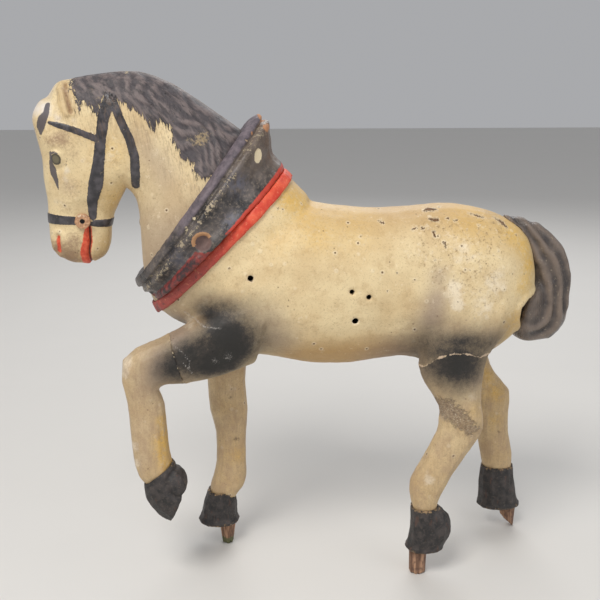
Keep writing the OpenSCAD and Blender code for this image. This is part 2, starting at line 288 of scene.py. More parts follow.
class Finish:
    def __init__(self, name):
        self.material = bpy.data.materials.new(name)
        self.material.use_nodes = True
        self.tree = self.material.node_tree
        self.shader = self.tree.nodes["Principled BSDF"]
        coords = self.tree.nodes.new("ShaderNodeTexCoord")
        scale = self.add("ShaderNodeVectorMath", operation="SCALE")
        scale.inputs["Scale"].default_value = 1 / mm
        self.tree.links.new(coords.outputs["Object"], scale.inputs[0])
        self.place = scale.outputs[0]

    def add(self, kind, **settings):
        node = self.tree.nodes.new(kind)
        for key, value in settings.items():
            setattr(node, key, value)
        return node

    def feed(self, value, socket):
        if isinstance(value, bpy.types.NodeSocket):
            self.tree.links.new(value, socket)
        elif isinstance(value, tuple) and len(value) == 3 and socket.type == "RGBA":
            socket.default_value = (*value, 1)
        else:
            socket.default_value = value

    def math(self, operation, a, b=0.0):
        node = self.add("ShaderNodeMath", operation=operation)
        self.feed(a, node.inputs[0])
        self.feed(b, node.inputs[1])
        return node.outputs[0]

    def plus(self, *terms):
        total = terms[0]
        for term in terms[1:]:
            total = self.math("ADD", total, term)
        return total

    def times(self, a, b):
        return self.math("MULTIPLY", a, b)

    # turns and stretches the places that a pattern is drawn on
    def turned(self, stretch=(1, 1, 1), turn=(0, 0, 0), shift=(0, 0, 0)):
        first = self.add("ShaderNodeMapping", vector_type="POINT")
        self.tree.links.new(self.place, first.inputs["Vector"])
        first.inputs["Rotation"].default_value = [math.radians(a) for a in turn]
        first.inputs["Location"].default_value = shift
        second = self.add("ShaderNodeMapping", vector_type="POINT")
        self.tree.links.new(first.outputs[0], second.inputs["Vector"])
        second.inputs["Scale"].default_value = stretch
        return second.outputs[0]

    # cloudy noise from 0 to 1, with lumps of about that size
    def noise(self, size, detail=2.0, at=None, sharp=0.5):
        node = self.add("ShaderNodeTexNoise")
        self.tree.links.new(at or self.place, node.inputs["Vector"])
        node.inputs["Scale"].default_value = 1 / size
        node.inputs["Detail"].default_value = detail
        node.inputs["Roughness"].default_value = sharp
        return node.outputs["Fac"]

    # distance from scattered points, 0 at a point, in shares of the size
    def grains(self, size, at=None):
        node = self.add("ShaderNodeTexVoronoi", feature="F1")
        self.tree.links.new(at or self.place, node.inputs["Vector"])
        node.inputs["Scale"].default_value = 1 / size
        return node.outputs["Distance"]

    def value(self, name):
        return self.add("ShaderNodeAttribute", attribute_name=name).outputs["Fac"]

    def ramp(self, value, low, high, to=(0.0, 1.0), smooth=True):
        node = self.add("ShaderNodeMapRange", interpolation_type="SMOOTHSTEP" if smooth else "LINEAR")
        self.feed(value, node.inputs["Value"])
        node.inputs["From Min"].default_value = low
        node.inputs["From Max"].default_value = high
        node.inputs["To Min"].default_value = to[0]
        node.inputs["To Max"].default_value = to[1]
        return node.outputs["Result"]

    def blend(self, amount, below, above):
        node = self.add("ShaderNodeMix", data_type="RGBA")
        self.feed(amount, node.inputs["Factor"])
        self.feed(below, node.inputs[6])
        self.feed(above, node.inputs[7])
        return node.outputs[2]

    def blendValue(self, amount, below, above):
        node = self.add("ShaderNodeMix", data_type="FLOAT")
        self.feed(amount, node.inputs[0])
        self.feed(below, node.inputs[2])
        self.feed(above, node.inputs[3])
        return node.outputs[0]

    # a mark's value with an uneven edge: noise adds up to half of much, or takes it away
    def ragged(self, name, much, size, detail=2.0, sharp=0.5):
        return self.plus(self.value(name), self.times(self.noise(size, detail, sharp=sharp), much), -much / 2)

    def coat(self, color, paint, amount, strength):
        return self.blend(self.times(amount, strength), color, paint)

    # height is in millimetres
    def done(self, color, roughness, height=None):
        self.feed(color, self.shader.inputs["Base Color"])
        self.feed(roughness, self.shader.inputs["Roughness"])
        if height is not None:
            bump = self.add("ShaderNodeBump")
            bump.inputs["Distance"].default_value = mm
            self.feed(height, bump.inputs["Height"])
            self.tree.links.new(bump.outputs[0], self.shader.inputs["Normal"])
        return self.material


# Old cream paint on moulded composition: mottled, foxed with brown specks, greyed by an
# airbrush where shade says, rubbed to chalky white in places and brightened by painted highlights
# on the rump and the haunch; yellowed over the croup with painted shade under the belly and the head,
# and tinted lilac with painted shadow down the front of the haunch.
def creamCoat(f):
    cloud = f.noise(22, 3)
    fine = f.noise(2.2, 4, sharp=0.65)
    color = f.blend(f.ramp(cloud, 0.3, 0.7), srgb(214, 189, 144), srgb(229, 208, 164))
    grime = f.ramp(f.noise(6, 5, sharp=0.68), 0.46, 0.72)
    color = f.coat(color, srgb(184, 153, 108), grime, 0.42)
    # yellowed paint over the croup, and painted shade under the belly and on what faces down on the head
    color = f.coat(color, srgb(184, 147, 92), f.value("yellowingAndShade"), 0.9)
    # lilac tint, and painted shadow down the front of the haunch and under the belly
    color = f.coat(color, srgb(150, 131, 122), f.value("lilacAndShadow"), 0.8)
    stain = f.times(f.value("stain"), f.ramp(fine, 0.2, 0.6))
    color = f.blend(stain, color, srgb(222, 178, 80))
    # rubbed chalky paint, and painted highlights on the rump and the haunch
    paleAndHighlightEdge = f.ragged("paleAndHighlight", 1.2, 5, 5, sharp=0.7)
    color = f.coat(color, srgb(240, 226, 200), f.ramp(paleAndHighlightEdge, 0.15, 0.6), 0.75)
    speck = f.ramp(f.grains(4.5), 0.05, 0.13, (1.0, 0.0))
    rare = f.ramp(f.noise(9, 2, f.turned(shift=(40, 7, 3))), 0.48, 0.6)
    color = f.coat(color, srgb(104, 76, 48), f.times(speck, rare), 0.7)
    far = f.grains(8.5, f.turned(shift=(3, 21, 13)))
    pit = f.ramp(far, 0.045, 0.085, (1.0, 0.0))
    crater = f.times(f.ramp(far, 0.20, 0.12), f.math("SUBTRACT", 1.0, pit))
    some = f.ramp(f.noise(14, 2, f.turned(shift=(9, 2, 31))), 0.42, 0.5)
    pit = f.times(pit, some)
    crater = f.times(crater, some)
    color = f.coat(color, srgb(238, 222, 190), crater, 0.4)
    color = f.coat(color, srgb(96, 66, 42), pit, 0.85)
    dust = f.ramp(f.noise(0.9, 3, sharp=0.7), 0.52, 0.70)
    color = f.coat(color, srgb(142, 116, 82), dust, 0.34)
    rot = f.ramp(f.plus(f.noise(2.0, 6, sharp=0.85), f.times(f.value("worn"), 0.13)), 0.68, 0.78)
    color = f.coat(color, srgb(146, 108, 72), rot, 0.6)
    flaked = f.plus(f.noise(3.4, 5, f.turned(shift=(8, 3, 6)), 0.75), f.times(f.value("worn"), 0.05))
    color = f.coat(color, srgb(236, 220, 190), f.ramp(flaked, 0.60, 0.70), 0.4)
    shade = f.plus(f.value("shade"), f.times(fine, 0.24), f.times(f.noise(0.5, 2), 0.16),
                   f.times(f.noise(8, 3), 0.16), -0.28)
    shadeColor = f.blend(f.ramp(shade, 0.4, 0.92, smooth=False), srgb(98, 85, 76), srgb(34, 32, 29))
    color = f.blend(f.ramp(shade, 0.02, 0.84, smooth=False), color, shadeColor)
    height = f.plus(f.times(cloud, 0.5), f.times(fine, 0.18), f.times(speck, -0.10),
                    f.times(rot, -0.12), f.times(pit, -0.35), f.times(crater, 0.12),
                    f.times(f.noise(0.6, 2), 0.04))
    rough = f.plus(0.40, f.times(fine, 0.24), f.times(f.value("shade"), 0.10))
    return color, rough, height


def addChips(f, color, rough, height, name, under, edge=0.5):
    chip = f.ragged(name, 2 * edge, 1.3, 6, sharp=0.8)
    amount = f.ramp(chip, -0.12, 0.15)
    rim = f.times(f.ramp(chip, -1.1, -0.1), f.math("SUBTRACT", 1.0, amount))
    color = f.coat(color, srgb(238, 224, 196), rim, 0.4)
    color = f.blend(amount, color, under)
    return color, f.plus(rough, f.times(amount, 0.25)), f.plus(height, f.times(amount, -0.30))


def makeBodyPaint():
    f = Finish("bodyPaint")
    color, rough, height = creamCoat(f)
    pit = f.blend(f.noise(0.7, 3), srgb(92, 64, 42), srgb(134, 98, 62))
    color, rough, height = addChips(f, color, rough, height, "chips", pit, 2.6)
    lip = f.ragged("lip", 1.6, 1.3, 4)
    lipAmount = f.ramp(lip, -0.1, 0.25)
    color = f.blend(lipAmount, color, f.blend(f.noise(0.8, 3), srgb(170, 140, 118), srgb(222, 204, 176)))
    fleck = f.plus(f.value("flecks"), f.times(f.noise(0.9, 4, sharp=0.75), 2.0), -1.45)
    fleckAmount = f.ramp(fleck, 0.0, 0.5)
    color = f.coat(color, srgb(196, 190, 184), fleckAmount, 0.5)
    tailPart = f.ramp(f.ragged("tailIn", 1.6, 1.8, 4), -0.1, 0.2)
    hair = f.noise(1.6, 4, f.turned(stretch=(0.25, 1, 1), turn=(0, 20, 0)), 0.6)
    color = f.blend(tailPart, color, f.blend(f.ramp(hair, 0.4, 0.6), srgb(44, 41, 42), srgb(106, 94, 88)))
    rough = f.plus(rough, f.times(lipAmount, 0.25))
    height = f.plus(height, f.times(lipAmount, 0.25), f.times(fleckAmount, 0.05))
    return f.done(color, rough, height)


def makeHeadPaint():
    f = Finish("headPaint")
    color, rough, height = creamCoat(f)
    # pale paint and painted highlights on the brow, beside the eye and down the front of the face
    browAndHighlight = f.ragged("browAndHighlight", 0.6, 2.5, 4)
    color = f.coat(color, srgb(228, 223, 219), f.ramp(browAndHighlight, 0.1, 0.9), 0.8)
    muzzle = f.ragged("muzzle", 1.2, 1.4, 4, sharp=0.7)
    color = f.coat(color, srgb(132, 100, 78), f.ramp(muzzle, 0.1, 0.9), 0.75)

    ear = f.ramp(f.ragged("ear", 1.6, 1.6, 3), -0.3, 0.3)
    earColor = f.blend(f.ramp(f.value("earFold"), 0.2, 1.8), srgb(136, 100, 66), srgb(206, 180, 134))
    color = f.blend(f.times(ear, 0.75), color, earColor)

    eye = f.ragged("iris", 0.5, 1.2, 2)
    irisColor = f.blend(f.ramp(eye, 0.2, 1.4), srgb(66, 60, 50), srgb(112, 104, 82))
    color = f.blend(f.ramp(eye, -0.15, 0.3), color, irisColor)
    stroke = f.ragged("lids", 0.8, 1.0, 3, sharp=0.7)
    strokeAmount = f.ramp(stroke, -0.1, 0.25)
    color = f.coat(color, srgb(62, 60, 74), strokeAmount, 0.9)

    red = f.ragged("red", 1.4, 1.5, 4, sharp=0.65)
    redAmount = f.ramp(red, -0.2, 0.3)
    redColor = f.blend(f.ramp(f.noise(2.0, 3), 0.35, 0.65), srgb(196, 66, 40), srgb(222, 98, 66))
    color = f.blend(redAmount, color, redColor)
    # painted shade along the groove of the mouth
    mouthShade = f.ramp(f.ragged("mouthGrooveShade", 0.4, 1.0, 2), -0.1, 0.2)
    color = f.coat(color, srgb(52, 30, 26), mouthShade, 0.85)

    strap = f.ragged("strap", 0.9, 1.3, 4, sharp=0.6)
    strapAmount = f.ramp(strap, -0.08, 0.14)
    worn = f.ramp(f.noise(2.6, 5, sharp=0.7), 0.62, 0.70)
    strapColor = f.blend(f.ramp(f.noise(4.5, 3), 0.35, 0.7), srgb(48, 47, 50), srgb(84, 80, 84))
    strapColor = f.coat(strapColor, srgb(170, 150, 118), worn, 0.7)
    color = f.blend(strapAmount, color, strapColor)

    hair = f.noise(0.9, 4, f.turned(stretch=(1, 1, 0.13), turn=(0, 10, 0)), 0.65)
    under = f.times(f.ramp(f.value("mane"), -22, -1), f.ramp(hair, 0.46, 0.62))
    color = f.coat(color, srgb(128, 104, 86), under, 0.35)
    coarse = f.noise(3.2, 3, f.turned(stretch=(1, 1, 0.3), turn=(0, 38, 0)), 0.6)
    mane = f.plus(f.value("mane"), f.times(hair, 13.0), f.times(coarse, 3.0), -8.2)
    maneAmount = f.ramp(mane, -0.25, 0.45)
    # locks lighter on their ridges and darker between them: painted highlight and painted shade
    lockShading = f.value("locks")
    maneColor = f.blend(f.ramp(f.plus(coarse, f.times(lockShading, 0.16)), 0.36, 0.70),
                        srgb(70, 64, 67), srgb(118, 106, 104))
    maneColor = f.coat(maneColor, srgb(122, 104, 90), f.value("crest"), 0.5)
    streak = f.ramp(f.noise(2.0, 5, f.turned(stretch=(1, 1, 0.16), turn=(0, 38, 0)), 0.68), 0.52, 0.62)
    maneColor = f.coat(maneColor, srgb(36, 34, 37), streak, 0.5)
    dryHair = f.turned(stretch=(1, 1, 0.35), turn=(0, 38, 0), shift=(5, 9, 2))
    dry = f.ramp(f.noise(1.2, 5, dryHair, 0.75), 0.60, 0.72)
    maneColor = f.coat(maneColor, srgb(146, 128, 112), dry, 0.55)
    tan = f.plus(f.value("maneWear"), f.times(f.noise(1.3, 5, sharp=0.8), 3.4), -2.75)
    maneColor = f.coat(maneColor, srgb(172, 150, 110), f.ramp(tan, 0.0, 0.5), 0.75)
    strokes = f.turned(stretch=(1, 1, 0.1), turn=(0, 30, 0), shift=(2, 4, 9))
    brush = f.ramp(f.noise(1.1, 5, strokes, 0.7), 0.54, 0.66)
    maneColor = f.coat(maneColor, srgb(38, 36, 40), brush, 0.6)
    crumbs = f.ramp(f.noise(1.0, 6, f.turned(shift=(1, 8, 5)), 0.85), 0.63, 0.68)
    maneColor = f.coat(maneColor, srgb(178, 154, 118), crumbs, 0.7)
    color = f.blend(maneAmount, color, maneColor)

    dark = f.math("MAXIMUM", maneAmount, strapAmount)
    rough = f.blendValue(strapAmount, rough, 0.34)
    rough = f.blendValue(maneAmount, rough, f.plus(0.40, f.times(coarse, 0.3)))
    height = f.plus(height, f.times(dark, 0.12), f.times(f.times(hair, maneAmount), 0.35),
                    f.times(f.times(coarse, maneAmount), 0.4), f.times(f.times(worn, strapAmount), -0.08))
    return f.done(color, rough, height)


bodyPaint = makeBodyPaint()
headPaint = makeHeadPaint()
print("shell paints mixed")

# joints of the limbs: place in the middle of the rim and tilt of its plane in degrees

joints = {
    "nearFore": ((-74, -25, 131), 106),
    "offFore": ((-49, 17, 120), 0),
    "nearHind": ((76, -23, 128), 13),
    "offHind": ((88, 23, 128), 0),
}
rimReach = 26


# height above a joint's plane, and distance from its middle
def fromJoint(co, name):
    at, tilt = joints[name]
    a = math.radians(tilt)
    d = co - np.array(at)
    up = d @ np.array([-math.sin(a), 0, math.cos(a)])
    return up, np.linalg.norm(d, axis=1)


def nearJoints(co):
    keep = np.zeros(len(co))
    for name in joints:
        up, away = fromJoint(co, name)
        keep = np.maximum(keep, smoothStep(7, 2, np.abs(up)) * (away < rimReach))
    return keep


# the near hind joint runs in an arch over the stifle
def archJoint(co):
    rise = 6.5 * smoothStep(20, 2, np.abs(co[:, 0] - 72)) * smoothStep(16, 3, np.abs(co[:, 2] - 126))
    return np.stack([rise * 0, rise * 0, rise * smoothStep(-22, -33, co[:, 1])], axis=1)


# moulded body in two halves

bodyShape = {
    "voxel": 1.0,
    "rounds": 30,
    # soft fullness and hollows, as [x, z, radius, height]
    "forms": [(35, 146, 16, -1.6), (-47, 150, 13, 1.2), (-62, 150, 9, 0.8), (76, 148, 16, 1.0),
              (92, 178, 14, 0.8), (55, 178, 14, -0.7), (-12, 150, 18, 0.5), (-30, 186, 12, -0.6)],
    "pinHoles": {"near": [(-35, 176, 1.5), (18, 168, 1.1), (27, 165, 1.1), (20, 152, 0.9)],
                 "off": [(-35, 176, 1.5)]},
    "pinsFrom": 35,
    "pinsDeep": 30,
    # airbrushed ovals: [x, z, half length, half height, tilt, strength]
    "shade": [(-49, 148, 13, 10, -30, 0.85), (-45, 139, 12, 10, 0, 0.85), (-57, 131, 18, 11, 15, 0.9),
              (-49, 129, 12, 8, 0, 0.6), (-56, 156, 12, 6, -25, 0.7), (-48, 161, 16, 7, -20, 0.6),
              (-72, 134, 14, 11, 25, 0.8), (-64, 142, 12, 7, 25, 0.6), (-36, 146, 12, 15, 0, 0.55),
              (-24, 142, 13, 13, 0, 0.28), (-34, 166, 12, 8, 0, 0.15),
              (76, 141, 17, 7, 3, 0.7), (75, 134, 22, 8, 5, 0.6), (75, 127, 21, 7, 5, 0.8),
              (75, 149, 19, 8, 0, 0.28), (58, 140, 11, 15, 0, 0.45), (95, 140, 11, 9, 25, 0.5),
              (46, 134, 15, 9, 0, 0.3)],
    "offShade": [(-54, 146, 17, 12, -25, 0.75), (-49, 132, 16, 18, 0, 0.75), (-46, 152, 24, 20, 0, 0.35),
                 (86, 142, 18, 9, 6, 0.7), (89, 132, 22, 13, 0, 0.75), (92, 146, 26, 18, 0, 0.35)],
    # colour spots: [x, z, radius, strength]
    # pale spots: rubbed paint, and painted highlights on the rump and the haunch
    "paleAndHighlight": [(20, 152, 2.6, 0.6), (76, 189, 10, 0.35), (94, 172, 10, 0.45), (72, 169, 5, 0.7),
             (74, 161, 4, 0.65), (88, 158, 7, 0.35), (-60, 159, 4, 0.5), (-68, 152, 4, 0.5),
             (-78, 140, 3, 0.6)],
    # lilac spots: a lilac tint, and painted shadow down the front of the haunch and under the belly
    "lilacAndShadow": [(64, 176, 6, 0.5), (63, 164, 7, 0.7), (61, 153, 8, 0.7), (-72, 150, 7, 0.5),
              (-79, 140, 7, 0.5), (-20, 142, 10, 0.5), (-24, 156, 8, 0.3), (45, 128, 14, 0.45),
              (100, 140, 9, 0.4), (30, 124, 12, 0.3), (108, 150, 7, 0.3)],
    "worn": [(85, 182, 20, 0.9), (92, 164, 14, 0.6), (64, 196, 16, 1.0), (45, 186, 14, 0.6),
             (98, 200, 10, 1.2), (70, 178, 12, 0.8)],
    # where the tail's end lies against the buttock, and the edge of the coat over it
    "tailEdge": [(135, 163), (122, 162), (115, 159.5), (111.0, 155.5), (111.4, 149), (114.5, 142),
                 (118, 136), (135, 128)],
    "stain": [(0, 197, 9, 0.4), (-8, 212, 8, 0.65), (-17, 216, 6, 0.6), (116, 178, 5, 0.8),
              (113, 168, 6, 0.7), (106, 196, 7, 0.7), (114, 188, 6, 0.7), (84, 203, 14, 0.4),
              (108, 150, 7, 0.5), (104, 140, 8, 0.5), (-20, 196, 10, 0.25), (20, 200, 14, 0.25)],
    # bare patches: [x, z, width] strokes
    "chips": [[(59, 207.0, 0.2), (62, 208.2, 1.6), (66, 207.8, 0.2)], [(61, 203.6, 0.6), (65, 203.2, 1.4)],
              [(51, 199.0, 0.4), (53, 199.4, 1.0)], [(56, 199.6, 0.8), (57, 199.4, 0.8)],
              [(62, 197.5, 1.2), (62.6, 195.6, 0.6)], [(67.4, 192.5, 1.0), (67.8, 190.6, 0.4)],
              [(74, 203, 0.6), (75, 203.2, 0.6)], [(70, 204.2, 0.6), (71, 204, 0.4)],
              [(82, 206, -0.4), (88, 204.6, 0.4), (92, 203.4, -0.4)],
              [(97, 203.4, 0.0), (101, 201, 1.4), (104, 198, 0.2)], [(34, 203, 0.4), (36, 202, 0.6)],
              [(-26, 213, -0.5), (-21, 211.5, 0.1), (-17, 210, -0.5)]],
    "pits": [(33, 175), (37, 168), (77, 167), (74, 162), (75, 189), (86, 187), (96, 188), (42, 178),
             (48, 186), (80, 179), (62, 184), (60, 188), (57, 184), (81, 185), (92, 176), (64, 179.5),
             (54, 192)],
    "pitSize": 0.15,
    "flecks": [(-54, 133, 2.5, 0.62), (-47, 135, 3.2, 0.68), (-29, 144, 1.5, 0.6), (84, 153, 5, 0.35),
               (-69, 143, 3, 0.4)],
    "scratches": [[(-70, 156), (-65, 153), (-58, 150), (-50, 150)],
                  [(-75, 141), (-71, 138), (-67, 133), (-68, 128)], [(-71, 133), (-66, 126)]],
}


def sculptBody(piece, v):
    co = places(piece)
    near = co[:, 1] < 0
    heights = spots(co, v["forms"]) + 0.35 * lumps(co, 14) + 0.15 * lumps(co, 5, 1)
    for x, z, _ in v["pinHoles"]["near"]:
        away = np.hypot(co[:, 0] - x, co[:, 2] - z)
        heights += near * (0.3 * np.exp(-((away - 2.2) / 1.0) ** 2) - 0.4 * np.exp(-(away / 1.6) ** 2))
    up, away = fromJoint(co, "nearHind")
    rim = np.exp(-(up / 0.9) ** 2) * (away < rimReach)
    heights += rim * (0.6 + 0.9 * lumps(co, 2.5, 3))
    tailIn = inOutline(co, v["tailEdge"])
    heights += smoothStep(0.6, -0.4, tailIn) * smoothStep(-4, -1.5, tailIn) * 0.9
    co[:, 1] *= 1 - 0.42 * smoothStep(-0.2, 2.2, tailIn)     # the coat steps down to the tail's seat
    for name in ("nearFore", "offFore", "offHind"):
        up, away = fromJoint(co, name)
        heights += 0.25 * np.exp(-(up / 2) ** 2) * (away < 24)
    heights *= 1 - 0.8 * smoothStep(4, 0.5, np.abs(co[:, 1]))
    move(piece, normals(piece) * heights[:, None] + co - places(piece))
    return co


def markBody(piece, co, v):
    near = co[:, 1] < 0
    no = normals(piece)
    mark(piece, "shade", np.where(near, sprayed(co, v["shade"]), sprayed(co, v["offShade"])))
    # the paint has yellowed over the croup and on what faces up; the same colour under the belly is painted
    # shade
    back = 0.75 * smoothStep(188, 208, co[:, 2]) * smoothStep(-30, 60, co[:, 0])
    back = np.maximum(back, 0.45 * smoothStep(0.3, 0.9, no[:, 2]))
    belly = 1.3 * smoothStep(150, 127, co[:, 2])
    belly *= smoothStep(-34, -4, co[:, 0]) * smoothStep(66, 40, co[:, 0])
    mark(piece, "yellowingAndShade", np.clip(back + belly, 0, 1))
    lowNeck = 0.35 * smoothStep(-50, -75, co[:, 0]) * smoothStep(185, 165, co[:, 2])
    mark(piece, "lilacAndShadow", np.clip(spots(co, v["lilacAndShadow"]) + lowNeck, 0, 1))
    markSpots(piece, co, v, "paleAndHighlight", "worn", "stain")
    mark(piece, "tailIn", inOutline(co, v["tailEdge"]) - 1.7)     # only the floor of the step is dark
    chips = np.maximum.reduce([inStrap(co, line) for line in v["chips"]])
    chips -= 4 * smoothStep(-9, -4, co[:, 1])          # none over the top of the back
    holes = inSpots(co, [(x, z, radius - 0.2) for x, z, radius in v["pinHoles"]["near"]])
    pits = inSpots(co, [(x, z, v["pitSize"]) for x, z in v["pits"]])
    mark(piece, "chips", np.where(near, np.maximum.reduce([chips, holes, pits]), -50))
    scratch = np.minimum.reduce([fromLine(co, line) for line in v["scratches"]])
    flecks = np.maximum(np.clip(spots(co, v["flecks"]), 0, 1), 0.75 * smoothStep(0.9, 0.2, scratch))
    mark(piece, "flecks", flecks * near)
    # bare filler along the open joint, and a thin line at the raised leg
    up, away = fromJoint(co, "nearHind")
    lip = np.where((away < 27) & near, 0.75 - np.abs(up) + 0.9 * lumps(co, 4, 22), -20)
    up, away = fromJoint(co, "nearFore")
    lip = np.maximum(lip, np.where((away < 24) & near, 0.1 - np.abs(up), -20))
    mark(piece, "lip", lip)


def addBody(v):
    trunk = cadCopy("trunk", "near_body_half", "off_body_half")
    remesh(trunk, v["voxel"], v["rounds"], nearJoints)
    co = sculptBody(trunk, v)
    markBody(trunk, co, v)
    move(trunk, archJoint(places(trunk)))
    for name, node, side in (("nearBodyShell", "near_body_half", -1), ("offBodyShell", "off_body_half", 1)):
        half = halved(trunk, name, side)
        for x, z, radius in v["pinHoles"]["near" if side < 0 else "off"]:
            bpy.ops.mesh.primitive_cylinder_add(vertices=24, radius=radius * mm, depth=v["pinsDeep"] * mm,
                                                location=(x * mm, side * v["pinsFrom"] * mm, z * mm),
                                                rotation=(math.radians(90), 0, 0))
            pin = bpy.context.object
            modify(half, "BOOLEAN", operation="DIFFERENCE", solver="MANIFOLD", object=pin)
            bpy.data.objects.remove(pin)
        settle(half, bodyPaint, "painted_shell", node)
    bpy.data.objects.remove(trunk)


addBody(bodyShape)

# moulded head and neck in two halves

headShape = {
    "voxel": 0.8,
    "rounds": 14,
    "eye": (-132.9, 236.6),
    # soft fullness and hollows, as [x, z, radius, height]
    "forms": [(-134, 244, 5, 1.3), (-126, 229, 6, -0.9), (-130, 272, 5, 1.6), (-138, 268, 3.5, -1.8),
              (-143, 257, 6, 1.3), (-120, 262, 6, 0.7), (-127, 215, 5, 0.9), (-106, 226, 12, 2.0),
              (-118, 210, 6, -1.2), (-112, 190, 8, 1.0), (-133, 190, 7, 1.1), (-137, 200, 5, -0.7),
              (-96, 246, 8, -0.8), (-119, 241, 6, -0.5)],
    # painted harness, as [x, z, width]
    "straps": [
        [(-104.3, 268.5, 6.2), (-108.3, 257.6, 6.0), (-110.1, 247.1, 5.5), (-112.0, 235.0, 5.5),
         (-114.1, 224.2, 7.0), (-116.5, 214.4, 5.5), (-116.9, 206.1, 4.0)],
        [(-103.5, 266.0, 4.4), (-99.3, 254.8, 4.4), (-95.9, 247.0, 4.6), (-93.4, 237.6, 4.8),
         (-93.2, 228.9, 5.0), (-93.4, 223.0, 4.4)],
        [(-135.5, 254.8, 1.6), (-131.3, 253.7, 3.0), (-124.5, 251.7, 3.3),
         (-118.0, 249.1, 3.3), (-111.0, 246.0, 3.6)],
        [(-152.0, 204.6, 5.8), (-142.2, 204.5, 5.8), (-126.6, 204.1, 4.6), (-119.0, 202.2, 2.0),
         (-114.4, 202.2, 4.0), (-104.0, 201.4, 4.6), (-95.0, 201.4, 4.6)],
    ],
    # lower edge of the mane, then closed above the crest
    "mane": [(-127.0, 300), (-125.1, 275.9), (-124.5, 270.0), (-122.2, 266.0), (-121.0, 260.1),
             (-118.3, 264.6), (-114.9, 262.1), (-111.6, 257.6), (-110.0, 261.0), (-106.5, 269.0),
             (-102.6, 267.0), (-99.0, 264.0), (-95.1, 262.5), (-89.1, 258.5), (-83.6, 250.9),
             (-80.9, 254.4), (-74.2, 252.4), (-74.4, 246.8), (-68.8, 235.8), (-63.7, 234.0),
             (-61.3, 226.2), (-53.0, 227.1), (-30, 215), (10, 250), (10, 300)],
    "maneWear": [(-110, 266, 4, 1.0), (-114.6, 271.4, 3, 1.0), (-77.5, 268.9, 4, 0.8),
                 (-56.6, 249.2, 7, 0.9), (-67, 245.7, 4, 0.8), (-59.8, 244.6, 5, 0.9),
                 (-97, 279, 1.5, 1.6), (-100, 268, 5, 0.5), (-69, 262, 5, 0.4)],
    "flow": (0.62, -0.78),
    "lockWidth": 6.2,
    "poll": 250,
    "lips": (-121.5, 2.4),
    "mouth": [(-118.9, 201.5), (-118.9, 192.8), (-120.0, 186.7), (-119.6, 178.0)],
    "redLips": [(-119.6, 200.6, 3.4), (-120.4, 192.8, 5.2), (-122.1, 186.7, 5.4), (-121.4, 178.0, 5.4)],
    "nostril": [(-136.0, 194.8, 2.0), (-135.7, 187.7, 2.6)],
    "lids": [[(-135.6, 239.4, 1.4), (-133.4, 240.2, 1.2), (-131.0, 239.2, 0.6)],
             [(-135.8, 239.6, 2.2), (-136.4, 234.5, 3.0), (-135.4, 229.5, 3.6), (-134.2, 226.0, 2.6),
              (-133.2, 220.6, 0.6)],
             [(-127.5, 237.5, 0.3), (-128.3, 233.9, 0.6), (-128.8, 231.5, 0.3)]],
    "forelock": [[(-136.6, 263.6, 3.0), (-136.9, 259.6, 3.0), (-138.8, 256.4, 4.6), (-140.4, 252.4, 4.4),
                  (-140.8, 249.4, 2.0)]],
    "ear": [(-125.3, 275), (-129.5, 274.5), (-132.0, 270.5), (-131.0, 263), (-127.5, 257.5),
            (-122.5, 258), (-121.8, 265), (-122.8, 271)],
    "earFold": [(-127.4, 272.5), (-126.2, 266.0), (-124.5, 260.0)],
    # pale paint over the brow, and painted highlights beside the eye and on the forehead
    "browAndHighlight": [(-138, 262, 5, 0.7), (-131, 256.5, 3, 0.45), (-128, 231, 2.5, 0.4), (-129, 226, 2.5, 0.3),
             (-123, 256, 2.5, 0.35), (-134, 214, 3, 0.3)],
    # painted highlight down the front of the face, from the forehead to the nose
    "frontHighlight": [(-136, 270), (-141, 264), (-146, 256), (-146, 240), (-146, 205)],
    "muzzle": [(-130, 184, 8, 0.85), (-138, 190, 5, 0.6), (-113, 182, 6, 0.5), (-127, 194, 5, 0.5),
               (-129, 247, 5, 0.7), (-124, 238, 5, 0.4), (-126, 222, 6, 0.45), (-130, 210, 5, 0.35),
               (-113, 212, 4, 0.2), (-126, 262, 5, 0.5), (-136, 246, 4, 0.5), (-104, 236, 4, 0.3)],
    "worn": [(-130, 225, 14, 0.7), (-125, 190, 12, 0.8), (-108, 185, 8, 0.5), (-88, 214, 16, 0.9),
             (-132, 250, 8, 0.8), (-86, 242, 10, 0.5)],
    "lilacAndShadow": [(-129, 222, 4, 0.3), (-84, 238, 8, 0.4), (-92, 246, 9, 0.35), (-78, 228, 9, 0.45)],
    "crease": [(-106.5, 243), (-105.5, 238), (-103, 233)],
    "shade": [(-92, 226, 6, 0.15)],
    "paleAndHighlight": [(-108, 238, 7, 0.3), (-84, 240, 6, 0.2), (-143, 232, 6, 0.2)],
    "stain": [(-105, 240, 8, 0.35), (-106, 215, 8, 0.35), (-107, 190, 6, 0.3)],
}


